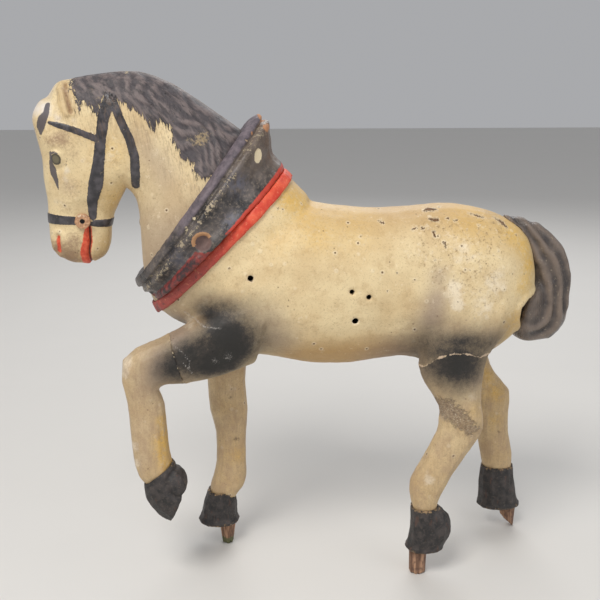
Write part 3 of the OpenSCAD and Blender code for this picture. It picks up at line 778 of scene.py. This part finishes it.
def sculptHead(piece, v):
    co = places(piece)
    strap = np.maximum.reduce([inStrap(co, line) for line in v["straps"]])
    mane = inOutline(co, v["mane"])
    flow = np.array(v["flow"])
    across = co[:, [0, 2]] @ np.array([-flow[1], flow[0]])
    down = co[:, [0, 2]] @ flow
    side = np.sign(co[:, 1])
    wave = across / v["lockWidth"] + 1.6 * lumps(co, 15, 2) + 0.25 * np.sin(down / 9 + 1.5 * side)
    locks = np.sin(2 * math.pi * wave) * (0.35 + 0.65 * np.abs(lumps(co, 9, 7)) * 2)
    onSide = smoothStep(1.5, 6, np.abs(co[:, 1]))
    heights = spots(co, v["forms"]) * np.where(co[:, 2] > v["poll"], 1, onSide)
    heights += 0.45 * smoothStep(-0.5, 0.6, strap)
    heights += smoothStep(-1.5, 2, mane) * (0.5 + 0.36 * locks * onSide * smoothStep(0, 6, mane))
    eye = np.hypot(co[:, 0] - v["eye"][0], (co[:, 2] - v["eye"][1]) / 1.15)
    heights += onSide * (1.1 * np.exp(-(eye / 3.0) ** 2) - 0.7 * np.exp(-((eye - 4.6) / 1.2) ** 2))
    for line in v["lids"][:1]:
        heights += 0.5 * onSide * np.exp(-(fromLine(co, [p[:2] for p in line]) / 1.0) ** 2)
    mouth = fromLine(co, v["mouth"])
    heights -= 1.3 * np.exp(-(mouth / 0.9) ** 2)
    x, wide = v["lips"]
    heights += 0.7 * np.exp(-((co[:, 0] - x) / wide) ** 2) * smoothStep(203, 198, co[:, 2])
    nostril = fromLine(co, [p[:2] for p in v["nostril"]])
    heights += onSide * (0.8 * np.exp(-((nostril - 3.0) / 1.2) ** 2) - 1.3 * np.exp(-(nostril / 1.3) ** 2))
    fold = fromLine(co, v["earFold"])
    ear = inOutline(co, v["ear"])
    heights += onSide * (0.9 * smoothStep(-0.6, 1.2, ear) - 1.6 * np.exp(-(fold / 1.1) ** 2))
    heights -= 0.5 * np.exp(-(fromLine(co, v["crease"]) / 0.9) ** 2)
    heights += 0.2 * lumps(co, 9, 4)
    mark(piece, "strap", strap)
    mark(piece, "mane", mane)
    # the locks' waves, kept for the painted highlight on their ridges and the painted shade between them
    mark(piece, "locks", locks)
    mark(piece, "earFold", fold)
    mark(piece, "ear", ear)
    raiseBy(piece, heights)
    return co


def markHead(piece, co, v):
    no = normals(piece)
    markSpots(piece, co, v, "shade", "paleAndHighlight", "stain", "worn", "muzzle")
    # painted shade on what faces down, and darker towards the bottom of the head
    mark(piece, "yellowingAndShade", 0.25 * smoothStep(-0.2, -0.8, no[:, 2]) + 0.25 * smoothStep(200, 180, co[:, 2]))
    neckLow = smoothStep(-104, -88, co[:, 0]) * smoothStep(232, 195, co[:, 2])
    mark(piece, "lilacAndShadow", np.clip(0.7 * neckLow + spots(co, v["lilacAndShadow"]), 0, 1))
    # a painted highlight down the front of the face, stronger towards the forehead
    frontHighlight = smoothStep(8, 1, fromLine(co, v["frontHighlight"])) * np.exp(-(co[:, 1] / 8) ** 2)
    frontHighlight *= 0.35 + 0.4 * smoothStep(225, 255, co[:, 2]) + 0.8 * lumps(co, 8, 23)
    mark(piece, "browAndHighlight", np.clip(spots(co, v["browAndHighlight"]) * smoothStep(1, 6, np.abs(co[:, 1])) + frontHighlight, 0, 1))
    onSide = np.where(np.abs(co[:, 1]) > 2, 0, -9)
    eye = v["eye"]
    mark(piece, "iris", onSide + 2.6 - np.hypot(co[:, 0] - eye[0], (co[:, 2] - eye[1]) / 1.2))
    lines = v["lids"] + v["forelock"]
    mark(piece, "lids", onSide + np.maximum.reduce([inStrap(co, line) for line in lines]))
    mark(piece, "red", np.maximum(inStrap(co, v["redLips"]), inStrap(co, v["nostril"])))
    # painted shade along the groove of the mouth
    mark(piece, "mouthGrooveShade", 0.55 - fromLine(co, v["mouth"]))
    mark(piece, "maneWear", np.clip(spots(co, v["maneWear"]), 0, 1.6))
    mark(piece, "crest", smoothStep(6, 0, np.abs(co[:, 1])) * smoothStep(-118, -80, co[:, 0]))


def addHead(v):
    whole = cadCopy("headAndNeck", "near_head_half", "off_head_half")

    def keepEars(co):
        return 0.75 * (inOutline(co, v["ear"]) > -2) * (np.abs(co[:, 1]) > 6)

    remesh(whole, v["voxel"], v["rounds"], keepEars)
    co = sculptHead(whole, v)
    markHead(whole, co, v)
    for name, node, side in (("nearHeadShell", "near_head_half", -1), ("offHeadShell", "off_head_half", 1)):
        settle(halved(whole, name, side), headPaint, "painted_shell", node)
    bpy.data.objects.remove(whole)


addHead(headShape)
print("shells modelled")


# horse collar: a flat front lip, a glossy roll behind it, a hollow and a flare

collarShape = {
    "voxel": 0.8,
    "rounds": 6,
    "along": (0.66, 0.75),
    "frontAt": (-185.5, -0.077, 61),   # front edge across the collar: start, slope, where from
    "wide": (17, 0.11),                # from front to back, and its growth along the collar
    "lip": 4.6,
    "ridge": 8.5,
    "chips": [(-27, 257, 2.6), (-26, 251, 1.8), (-36, 246, 0.6), (-33, 249, 0.6),
              (-40, 236, 0.4), (-63, 208, 0.9), (-67, 203, 0.8), (-49, 214, 0.2)],
    "oval": (-30, 238, 2.3, 3.6),
    "scar": (-59, 196, 4.6),
    "haze": [(-41, 225, 5, 0.9), (-43, 206, 5, 0.8), (-72, 188, 5, 0.5)],
    "brown": [(-20, 238, 5, 0.9), (-24, 246, 5, 0.6), (-27, 255, 5, 0.9)],
}


def makeCollarPaint():
    f = Finish("collarPaint")
    fine = f.noise(1.6, 5, sharp=0.7)
    cloud = f.noise(9, 3)
    color = f.blend(f.ramp(cloud, 0.35, 0.65), srgb(40, 38, 39), srgb(96, 89, 86))
    color = f.coat(color, srgb(132, 119, 106), f.ramp(fine, 0.48, 0.66), 0.6)
    color = f.coat(color, srgb(134, 116, 100), f.value("top"), 0.4)
    haze = f.times(f.value("haze"), f.ramp(f.noise(2.4, 4), 0.3, 0.6))
    color = f.coat(color, srgb(104, 106, 122), haze, 0.8)
    brown = f.times(f.value("brown"), f.ramp(f.noise(3, 4), 0.3, 0.6))
    color = f.coat(color, srgb(112, 86, 66), brown, 0.8)
    lipAmount = f.ramp(f.ragged("lipIn", 1.2, 2.5, 3), -0.3, 0.5)
    lipAmount = f.times(lipAmount, f.ramp(f.ragged("upper", 0.8, 5, 4), 0.1, 0.6))
    lipColor = f.blend(f.ramp(f.noise(3.2, 5, sharp=0.65), 0.3, 0.7), srgb(78, 71, 78), srgb(118, 106, 112))
    color = f.blend(lipAmount, color, lipColor)
    speckle = f.plus(f.times(f.value("ridge"), 0.9), f.times(f.noise(2.2, 5, sharp=0.8), 5.0), -3.5)
    speckleAmount = f.ramp(speckle, 0.0, 0.2)
    color = f.coat(color, srgb(192, 176, 148), speckleAmount, 0.8)
    chip = f.ragged("chips", 3.2, 1.6, 5, sharp=0.78)
    oval = f.ragged("oval", 0.8, 1.4, 3)
    chipAmount = f.ramp(f.math("MAXIMUM", chip, oval), -0.1, 0.15)
    color = f.blend(chipAmount, color, f.blend(f.value("tan"), srgb(228, 212, 178), srgb(188, 134, 94)))
    roll = f.ragged("redRoll", 1.8, 2.0, 5, sharp=0.7)
    rollColor = f.blend(f.ramp(f.noise(6, 5, sharp=0.7), 0.40, 0.58), srgb(146, 56, 50), srgb(56, 40, 42))
    rollColor = f.blend(f.value("high"), rollColor, srgb(206, 66, 44))
    color = f.blend(f.times(f.ramp(roll, -0.2, 0.3), 0.9), color, rollColor)
    scar = f.ramp(f.ragged("scar", 1.0, 2, 3), -0.2, 0.4)
    scarColor = f.blend(f.noise(1.6, 4), srgb(78, 62, 62), srgb(136, 108, 100))
    color = f.coat(color, scarColor, scar, 0.9)
    arc = f.ramp(f.ragged("scarArc", 1.2, 1.2, 4), -0.1, 0.2)
    color = f.blend(arc, color, srgb(184, 138, 98))
    rough = f.blendValue(lipAmount, f.plus(0.22, f.times(fine, 0.3)), 0.62)
    rough = f.plus(rough, f.times(f.math("MAXIMUM", chipAmount, scar), 0.3))
    height = f.plus(f.times(cloud, 0.6), f.times(fine, 0.30), f.times(chipAmount, -0.25),
                    f.times(speckleAmount, -0.10), f.times(f.noise(0.7, 3), 0.08))
    return f.done(color, rough, height)


def addCollar(v):
    piece = cadCopy("collar", "horse_collar")
    remesh(piece, v["voxel"], v["rounds"])
    co = places(piece)
    d = np.array(v["along"])
    along = co[:, [0, 2]] @ d
    start, slope, origin = v["frontAt"]
    behind = co[:, [0, 2]] @ np.array([d[1], -d[0]]) - start - slope * (along - origin)
    wide = v["wide"][0] + (along - origin) * v["wide"][1]
    outer = smoothStep(0.0, 0.4, normals(piece)[:, 1] * np.sign(co[:, 1]) + 0.3)
    share = behind / wide
    heights = 0.5 * smoothStep(v["lip"] + 0.8, v["lip"] - 0.6, behind)
    heights -= 1.3 * np.exp(-((behind - v["lip"] - 1.0) / 1.1) ** 2)
    heights += 1.5 * np.exp(-((behind - v["ridge"]) / 2.6) ** 2)
    heights -= 2.2 * np.exp(-((share - 0.72) / 0.16) ** 2)
    heights += 0.7 * smoothStep(0.86, 0.97, share) * smoothStep(205, 222, co[:, 2])
    heights += 2.0 * np.exp(-((share - 0.82) / 0.12) ** 2) * smoothStep(194, 186, co[:, 2])
    heights += 0.35 * lumps(co, 7, 5) + 0.2 * lumps(co, 3, 6)
    x, z, radius = v["scar"]
    scarAway = np.hypot(co[:, 0] - x, co[:, 2] - z)
    near = co[:, 1] < 0
    scarRim = 0.8 * np.exp(-(scarAway - radius) ** 2)
    heights += near * (scarRim - 0.8 * smoothStep(radius, radius - 2, scarAway))
    mark(piece, "lipIn", v["lip"] - behind)
    ridge = np.exp(-((behind - v["ridge"] + 1) / 3.6) ** 2)
    mark(piece, "ridge", ridge * smoothStep(-0.8, 0.1, lumps(co, 11, 16)))
    mark(piece, "chips", np.where(near, inSpots(co, v["chips"]), -20))
    ox, oz, ovalWide, ovalHigh = v["oval"]
    ovalAway = np.hypot((co[:, 0] - ox) / ovalWide, (co[:, 2] - oz) / ovalHigh)
    mark(piece, "oval", np.where(near, (1 - ovalAway) * ovalWide, -20))
    lowRoll = np.minimum((share - 0.70) * wide, (191 - co[:, 2]) * 0.5)
    highRoll = np.minimum((share - 0.955) * wide, (co[:, 2] - 200) * 0.2)
    mark(piece, "redRoll", np.maximum(lowRoll, highRoll))
    mark(piece, "high", smoothStep(185, 200, co[:, 2]))
    mark(piece, "upper", smoothStep(188, 222, co[:, 2]))
    mark(piece, "top", smoothStep(215, 248, co[:, 2]))
    mark(piece, "tan", smoothStep(242, 250, co[:, 2]))
    mark(piece, "scar", np.where(near, radius - scarAway, -20))
    above = (co[:, 2] - z) > 0.5 * (co[:, 0] - x)
    mark(piece, "scarArc", np.where(near & above, 1.0 - np.abs(scarAway - radius), -20))
    markSpots(piece, co, v, "haze", "brown")
    raiseBy(piece, heights * outer)
    settle(piece, makeCollarPaint(), "black_collar", "horse_collar")


addCollar(collarShape)


# red band behind the collar

bandShape = {"voxel": 0.7, "rounds": 8}


def makeBandPaint():
    f = Finish("bandPaint")
    fine = f.noise(1.5, 5, sharp=0.7)
    color = f.blend(f.ramp(f.noise(5, 3), 0.35, 0.65), srgb(206, 62, 40), srgb(226, 92, 62))
    color = f.coat(color, srgb(146, 70, 66), f.value("dull"), 0.8)
    color = f.coat(color, srgb(236, 160, 120), f.ramp(fine, 0.55, 0.70), 0.55)
    scuff = f.plus(f.noise(3.2, 5, sharp=0.75), f.times(f.value("dull"), 0.12))
    color = f.coat(color, srgb(84, 48, 46), f.ramp(scuff, 0.64, 0.74), 0.7)
    rough = f.plus(0.38, f.times(fine, 0.3))
    return f.done(color, rough, f.plus(f.times(fine, 0.2), f.times(f.noise(5, 2), 0.5)))


def addBand(v):
    piece = cadCopy("band", "collar_band")
    remesh(piece, v["voxel"], v["rounds"])
    co = places(piece)
    raiseBy(piece, 0.2 + 0.25 * lumps(co, 5, 8))
    mark(piece, "dull", smoothStep(205, 175, co[:, 2]))
    settle(piece, makeBandPaint(), "red_band", "collar_band")


addBand(bandShape)
print("collar and band modelled")


# tail: one bundle with long grooves and a curled end

tailShape = {
    "voxel": 0.7,
    "rounds": 10,
    "groove": 0.7,
    "pitch": 7.4,
    "middle": (124, 151),
    # the lower end is laid towards the rump and widened
    "forward": 6,
    "widen": 1.35,
}


def makeTailPaint():
    f = Finish("tailPaint")
    hair = f.noise(1.0, 4, f.turned(stretch=(1, 1, 0.18)), 0.65)
    cloud = f.noise(9, 3)
    # lighter on the crests and darker in the grooves: painted highlight and painted shade
    color = f.blend(f.ramp(f.plus(f.times(f.value("groove"), 0.40), f.times(cloud, 0.8)), 0.3, 0.85),
                    srgb(66, 60, 58), srgb(122, 108, 97))
    color = f.coat(color, srgb(38, 35, 36), f.ramp(hair, 0.55, 0.68), 0.35)
    worn = f.ramp(f.noise(2.2, 5, sharp=0.75), 0.60, 0.67)
    color = f.coat(color, srgb(172, 158, 136), worn, 0.6)
    rough = f.plus(0.12, f.times(hair, 0.26))
    height = f.plus(f.times(hair, 0.5), f.times(cloud, 0.5), f.times(f.noise(0.7, 2), 0.06))
    return f.done(color, rough, height)


def addTail(v):
    piece = cadCopy("horseTail", "tail")
    remesh(piece, v["voxel"], v["rounds"])
    co = places(piece)
    x, z = v["middle"]
    high = co[:, 2] > z
    reach = np.where(high, co[:, 0] - x + 0.010 * (co[:, 2] - z) ** 2, np.hypot(co[:, 0] - x, co[:, 2] - z))
    drift = 0.25 * lumps(co, 18, 9) + 0.1 * lumps(co, 7, 17)
    groove = np.sin(2 * math.pi * (reach / v["pitch"] + 1.6 * drift))
    groove *= 0.5 + 1.4 * np.abs(lumps(co, 10, 18))
    groove = np.sign(groove) * np.abs(groove) ** 0.8
    groove *= smoothStep(1, 4, np.hypot(co[:, 0] - x, co[:, 2] - z))
    # the grooves, kept for the painted shade in them and the painted highlight on the crests
    mark(piece, "groove", 0.5 + 0.5 * groove)
    raiseBy(piece, v["groove"] * groove + 0.3 * lumps(co, 8, 10))
    spread = smoothStep(166, 157, co[:, 2]) * smoothStep(132, 119, co[:, 0])
    move(piece, np.stack([-v["forward"] * spread, co[:, 1] * v["widen"] * spread, spread * 0], axis=1))
    settle(piece, makeTailPaint(), "grey_tail", "tail")


addTail(tailShape)


# carved legs, with bare pegs under the hooves

legShape = {
    "voxel": 0.6,
    "rounds": 10,
    # ovals and spots as on the body; the peg's place, taper, slope of its end and raggedness
    "nearFore": {"shade": [(-60, 131, 18, 14, 0, 0.95), (-74, 132, 13, 12, 15, 0.8),
                           (-82, 126, 13, 11, 0, 0.35)],
                 "lilacAndShadow": [(-82, 132, 9, 0.8), (-88, 120, 10, 0.5), (-90, 96, 12, 0.3), (-93, 78, 9, 0.35)],
                 "paleAndHighlight": [(-103, 127, 4, 0.9), (-100, 133, 3, 0.7), (-99, 84, 3, 0.7), (-98, 74, 2.5, 0.7)],
                 "stain": [(-83, 98, 4, 0.8), (-83, 89, 4.5, 1.2), (-82, 80, 5, 1.5), (-80, 71, 4.5, 1.5)],
                 "bare": []},
    "offFore": {"shade": [(-49, 131, 18, 17, 0, 0.9)], "lilacAndShadow": [], "paleAndHighlight": [(-40, 112, 6, 0.4)],
                "stain": [(-44, 60, 5, 0.5), (-50, 90, 6, 0.25)],
                "peg": (-50, 17, 0.35, 0, 2.0),
                "bare": [(-47, 97, 0.4), (-44, 70, 0.4)]},
    "nearHind": {"shade": [(74, 129, 28, 12, 0, 0.9), (74, 120, 17, 8, 0, 0.8), (76, 112, 15, 10, 0, 0.4)],
                 "lilacAndShadow": [(62, 124, 7, 0.5), (86, 118, 6, 0.5)],
                 "paleAndHighlight": [(70, 98, 5, 0.5), (62, 60, 4, 0.5), (85, 108, 4, 0.3)],
                 "stain": [(86, 100, 5, 0.35), (80, 92, 4, 0.4)],
                 "peg": (59, -25, 0.06, 0, 1.4),
                 "patch": [(64, 107), (73, 107.5), (82, 100), (91, 89), (84, 85.5), (74, 92), (66, 97)],
                 "bare": []},
    "offHind": {"shade": [(88, 132, 24, 17, 0, 0.9)], "lilacAndShadow": [], "paleAndHighlight": [(112, 70, 4, 0.4)],
                "stain": [(106, 104, 6, 1.0), (112, 92, 7, 0.9), (101, 114, 6, 0.6), (113, 74, 6, 0.5)],
                "peg": (126, 26, 0.15, 0.8, 1.0),
                "bare": [(116, 66, 0.4)]},
}


def makeLegPaint():
    f = Finish("legPaint")
    color, rough, height = creamCoat(f)
    grain = f.noise(1.7, 5, f.turned(stretch=(1, 1, 0.07)), 0.65)
    light = f.math("SUBTRACT", 1.0, f.ramp(f.value("shade"), 0.1, 0.6))
    patchy = f.ramp(f.noise(5, 5, f.turned(stretch=(1, 1, 0.6), shift=(4, 4, 1)), 0.65), 0.4, 0.65)
    color = f.blend(f.times(light, f.plus(0.2, f.times(patchy, 0.35))), color, srgb(164, 136, 110))
    color = f.coat(color, srgb(146, 117, 86), f.times(f.ramp(grain, 0.42, 0.75), light), 0.28)
    color = f.coat(color, srgb(110, 84, 60), f.times(f.ramp(grain, 0.66, 0.76), light), 0.4)
    dust = f.ramp(f.noise(0.8, 3, sharp=0.7), 0.52, 0.66)
    color = f.coat(color, srgb(150, 126, 102), f.times(dust, light), 0.4)
    bare = f.plus(f.value("bare"), f.times(f.noise(2.2, 6, sharp=0.8), 18.0), -9.6)
    bareAmount = f.times(f.ramp(bare, -1.0, 1.6), 0.8)
    weathered = f.ramp(f.noise(1.4, 5, sharp=0.75), 0.35, 0.65)
    woodColor = f.blend(weathered, srgb(98, 82, 68), srgb(154, 132, 108))
    woodColor = f.coat(woodColor, srgb(220, 208, 184), f.ramp(f.noise(0.9, 4, sharp=0.8), 0.54, 0.64), 0.8)
    color = f.blend(bareAmount, color, woodColor)
    lip = f.ramp(f.ragged("lip", 1.6, 1.3, 4), -0.1, 0.25)
    color = f.coat(color, srgb(206, 188, 156), lip, 0.9)
    peg = f.ramp(f.value("peg"), -0.4, 0.2)
    pegColor = f.blend(f.ramp(grain, 0.35, 0.65), srgb(104, 76, 60), srgb(186, 146, 116))
    pegColor = f.coat(pegColor, srgb(82, 60, 52), f.ramp(f.noise(2.5, 3), 0.5, 0.7), 0.6)
    green = f.ramp(f.ragged("green", 1.0, 2, 3), -0.2, 0.3)
    pegColor = f.coat(pegColor, srgb(78, 92, 58), green, 0.8)
    color = f.blend(peg, color, pegColor)
    rough = f.plus(rough, f.times(f.math("MAXIMUM", bareAmount, peg), 0.3))
    height = f.plus(height, f.times(grain, 0.30), f.times(bareAmount, -0.30))
    return f.done(color, rough, height)


legPaint = makeLegPaint()


# a peg narrows to its end, which is broken off at a slant
def wornPeg(co, peg, length=14, radius=5):
    x, y, taper, slope, ragged = peg
    deep = np.clip(1 - co[:, 2] / length, 0, 1)
    inward = np.stack([x - co[:, 0], y - co[:, 1], co[:, 0] * 0], axis=1) * (taper * deep)[:, None]
    broken = np.clip(slope * (x + radius * np.sign(slope) - co[:, 0]), 0, 9) if slope else np.zeros(len(co))
    broken = broken + ragged * np.clip(lumps(co * np.array([1, 1, 0]), 1.3, 21) + 0.3, 0, 1)
    inward[:, 2] = broken * deep * (co[:, 2] < length)
    return inward


def addLeg(name, node, key, sole, v):
    piece = cadCopy(name, node)
    look = v[key]

    def keepEnds(co):
        up, away = fromJoint(co, key)
        rim = smoothStep(7, 2, np.abs(up)) * (away < rimReach)
        return np.maximum(rim, smoothStep(18, 15, co[:, 2]) * (sole > 0))

    remesh(piece, v["voxel"], v["rounds"], keepEnds)
    co = places(piece)
    up, away = fromJoint(co, key)
    facets = 0.35 * lumps(co, 7, 11, (1, 1, 0.35)) + 0.14 * lumps(co, 2.4, 12, (1, 1, 0.25))
    clear = 1 - smoothStep(17, 15, co[:, 2]) * (sole > 0)
    raiseBy(piece, facets * clear + 0.25 * np.exp(-(up / 2.0) ** 2) * (away < 22))
    if sole:
        move(piece, wornPeg(co, look["peg"]))
    mark(piece, "shade", sprayed(co, look["shade"]))
    outside = smoothStep(-3, 4, (co[:, 1] - co[:, 1].mean()) * np.sign(co[:, 1].mean()))
    for field in ("lilacAndShadow", "paleAndHighlight", "stain"):
        mark(piece, field, np.clip(spots(co, look[field]), 0, 1) * (outside if field == "paleAndHighlight" else 1))
    mark(piece, "worn", 0.1 + 0.4 * smoothStep(70, 40, co[:, 2]) * (key == "nearHind"))
    # a little darker and warmer towards the hoof
    mark(piece, "yellowingAndShade", 0.20 + 0.20 * smoothStep(100, 40, co[:, 2]))
    bare = inSpots(co, look["bare"])
    if "patch" in look:
        bare = np.maximum(bare, inOutline(co, look["patch"]))
    mark(piece, "bare", bare)
    mark(piece, "peg", (15.3 - co[:, 2]) if sole > 0 else np.full(len(co), -9.0))
    mark(piece, "green", (4.0 - co[:, 2]) if key == "offFore" else np.full(len(co), -9.0))
    lip = (0.4 if key == "nearHind" else 0.2) - np.abs(up) + 0.5 * lumps(co, 4, 22)
    mark(piece, "lip", np.where((away < rimReach) & (co[:, 1] < 0), lip, -20))
    if key == "nearHind":
        move(piece, archJoint(co))
    settle(piece, legPaint, "painted_wood", node)


for name, node, key, sole in (
    ("nearForeLeg", "near_fore_leg", "nearFore", 0),
    ("offForeLeg", "off_fore_leg", "offFore", 1),
    ("nearHindLeg", "near_hind_leg", "nearHind", 1),
    ("offHindLeg", "off_hind_leg", "offHind", 1),
):
    addLeg(name, node, key, sole, legShape)
print("tail and legs modelled")


# hooves

hoofShape = {"voxel": 0.5, "rounds": 6, "heel": (-74, 63), "ridgePitch": 3.4}


def makeHoofPaint():
    f = Finish("hoofPaint")
    fine = f.noise(1.3, 5, sharp=0.7)
    color = f.blend(f.ramp(f.noise(4, 3), 0.35, 0.7), srgb(36, 34, 34), srgb(66, 60, 58))
    color = f.coat(color, srgb(92, 83, 76), f.ramp(fine, 0.52, 0.66), 0.6)
    worn = f.plus(f.value("edge"), f.times(f.noise(1.8, 5, sharp=0.75), 3.0), -2.1)
    wornAmount = f.ramp(worn, 0.0, 0.3)
    color = f.coat(color, srgb(172, 142, 104), wornAmount, 0.8)
    brown = f.ramp(f.noise(2.4, 4, f.turned(stretch=(1, 1, 0.3), shift=(9, 3, 5))), 0.60, 0.68)
    color = f.coat(color, srgb(100, 64, 48), brown, 0.35)
    rough = f.plus(0.36, f.times(fine, 0.35))
    height = f.plus(f.times(fine, 0.35), f.times(f.noise(4, 2), 0.5), f.times(wornAmount, -0.2))
    return f.done(color, rough, height)


hoofPaint = makeHoofPaint()


def addHoof(name, node, low, ridges, v):
    piece = cadCopy(name, node)
    remesh(piece, v["voxel"], v["rounds"])
    co = places(piece)
    top = co[:, 2].max()
    base = co[:, 2].min()
    share = (co[:, 2] - base) / (top - base)
    if low:
        heights = 0.7 * np.exp(-((co[:, 2] - base - 1.2) / 1.4) ** 2)
        wave = np.sin(2 * math.pi * (co[:, 0] + 0.6 * lumps(co, 5, 19)) / v["ridgePitch"])
        heights += ridges * wave * smoothStep(0.1, 0.3, share)
    else:
        heel = np.hypot(co[:, 0] - v["heel"][0], co[:, 2] - v["heel"][1])
        heights = 0.8 * np.exp(-(heel / 5.0) ** 2) - 0.9 * np.exp(-((heel - 7.5) / 1.3) ** 2)
    heights += 0.22 * lumps(co, 5, 13) + 0.10 * lumps(co, 1.8, 14)
    flat = 1 - smoothStep(base + 1.2, base + 0.3, co[:, 2])
    raiseBy(piece, heights * flat)
    edge = np.maximum(smoothStep(0.12, 0.02, share), smoothStep(0.9, 0.98, share))
    mark(piece, "edge", 0.55 * edge + 0.1)
    settle(piece, hoofPaint, "black_hoof", node)


for name, node, low, ridges in (
    ("nearForeHoof", "near_fore_hoof", False, 0.0),
    ("offForeHoof", "off_fore_hoof", True, 0.18),
    ("nearHindHoof", "near_hind_hoof", True, 0.10),
    ("offHindHoof", "off_hind_hoof", True, 0.10),
):
    addHoof(name, node, low, ridges, hoofShape)


# bit bosses: flat domes with a shallow dent in the middle, painted dark as the shade of a hole, and a ragged
# rim

bossShape = {"voxel": 0.3, "rounds": 4, "middle": (-122, 204), "hole": 1.1}


def makeBossPaint():
    f = Finish("bossPaint")
    fine = f.noise(0.9, 5, sharp=0.75)
    color = f.blend(f.ramp(fine, 0.35, 0.65), srgb(158, 112, 84), srgb(206, 164, 124))
    color = f.coat(color, srgb(236, 220, 190), f.ramp(f.noise(1.6, 4), 0.58, 0.68), 0.7)
    # the dent's middle is painted near black, as the shade inside a hole
    color = f.blend(f.ramp(f.value("hole"), -0.5, 0.2), color, srgb(30, 24, 22))
    return f.done(color, f.plus(0.5, f.times(fine, 0.2)), f.times(fine, 0.3))


def addBosses(v):
    piece = cadCopy("bosses", "bit_bosses")
    remesh(piece, v["voxel"], v["rounds"])
    co = places(piece)
    away = np.hypot(co[:, 0] - v["middle"][0], co[:, 2] - v["middle"][1])
    raiseBy(piece, 0.25 * lumps(co, 1.6, 15) - 0.5 * np.exp(-(away / v["hole"]) ** 2))
    mark(piece, "hole", v["hole"] - away)
    settle(piece, makeBossPaint(), "ochre_boss", "bit_bosses")


addBosses(bossShape)
print("hooves and bosses modelled")


# wooden blocks, plug and nails inside

def makeBareWood():
    f = Finish("bareWood")
    ring = f.noise(4, 3, f.turned(stretch=(1, 0.12, 1)))
    pore = f.noise(0.8, 3, f.turned(stretch=(1, 0.06, 1)), 0.6)
    color = f.blend(f.ramp(ring, 0.35, 0.65), srgb(150, 112, 74), srgb(196, 158, 112))
    color = f.coat(color, srgb(112, 78, 50), f.ramp(pore, 0.55, 0.7), 0.6)
    return f.done(color, f.plus(0.6, f.times(pore, 0.2)), f.plus(f.times(pore, 0.25), f.times(ring, 0.2)))


def makeIron():
    f = Finish("rustyIron")
    f.shader.inputs["Metallic"].default_value = 0.7
    rust = f.ramp(f.noise(1.2, 5, sharp=0.7), 0.45, 0.62)
    color = f.blend(rust, srgb(108, 104, 100), srgb(116, 66, 40))
    return f.done(color, f.plus(0.4, f.times(rust, 0.4)), f.times(rust, 0.1))


bareWood = makeBareWood()
iron = makeIron()
for node, material in (("chest_block", bareWood), ("hip_block", bareWood), ("neck_plug", bareWood),
                       ("leg_nails", iron)):
    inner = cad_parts[node]
    inner.data.materials.clear()
    inner.data.materials.append(material)


# floor and studio lights

studio = {
    "floor": srgb(216, 214, 210),
    "world": (0.86, 0.87, 0.90),
    "worldStrength": 0.46,
    "aim": (0, 0, 0.14),
    "lights": [
        ("keyLight", (-0.45, -0.75, 1.15), 0.55, 12.5, (1.0, 0.97, 0.93)),
        ("fillLight", (0.9, -0.8, 0.5), 0.8, 2.6, (0.95, 0.97, 1.0)),
        ("rimLight", (0.2, 0.9, 0.9), 0.8, 5, (1.0, 1.0, 1.0)),
    ],
}


def makeFloorPaint(v):
    f = Finish("floorPaint")
    color = f.blend(f.times(f.noise(60, 3), 0.25), v["floor"], srgb(206, 204, 200))
    return f.done(color, 0.75)


def addStudio(v):
    bpy.ops.mesh.primitive_plane_add(size=8, location=(0, 0, 0))
    floor = bpy.context.object
    floor.name = "floor"
    floor.data.materials.append(makeFloorPaint(v))
    world = bpy.data.worlds.new("studio")
    world.use_nodes = True
    background = world.node_tree.nodes["Background"]
    background.inputs["Color"].default_value = (*v["world"], 1)
    background.inputs["Strength"].default_value = v["worldStrength"]
    bpy.context.scene.world = world
    for name, at, size, power, color in v["lights"]:
        bpy.ops.object.light_add(type="AREA", location=at)
        light = bpy.context.object
        light.name = name
        light.data.size = size
        light.data.energy = power
        light.data.color = color
        light.rotation_euler = (Vector(at) - Vector(v["aim"])).to_track_quat("Z", "Y").to_euler()


addStudio(studio)
print("studio lit")
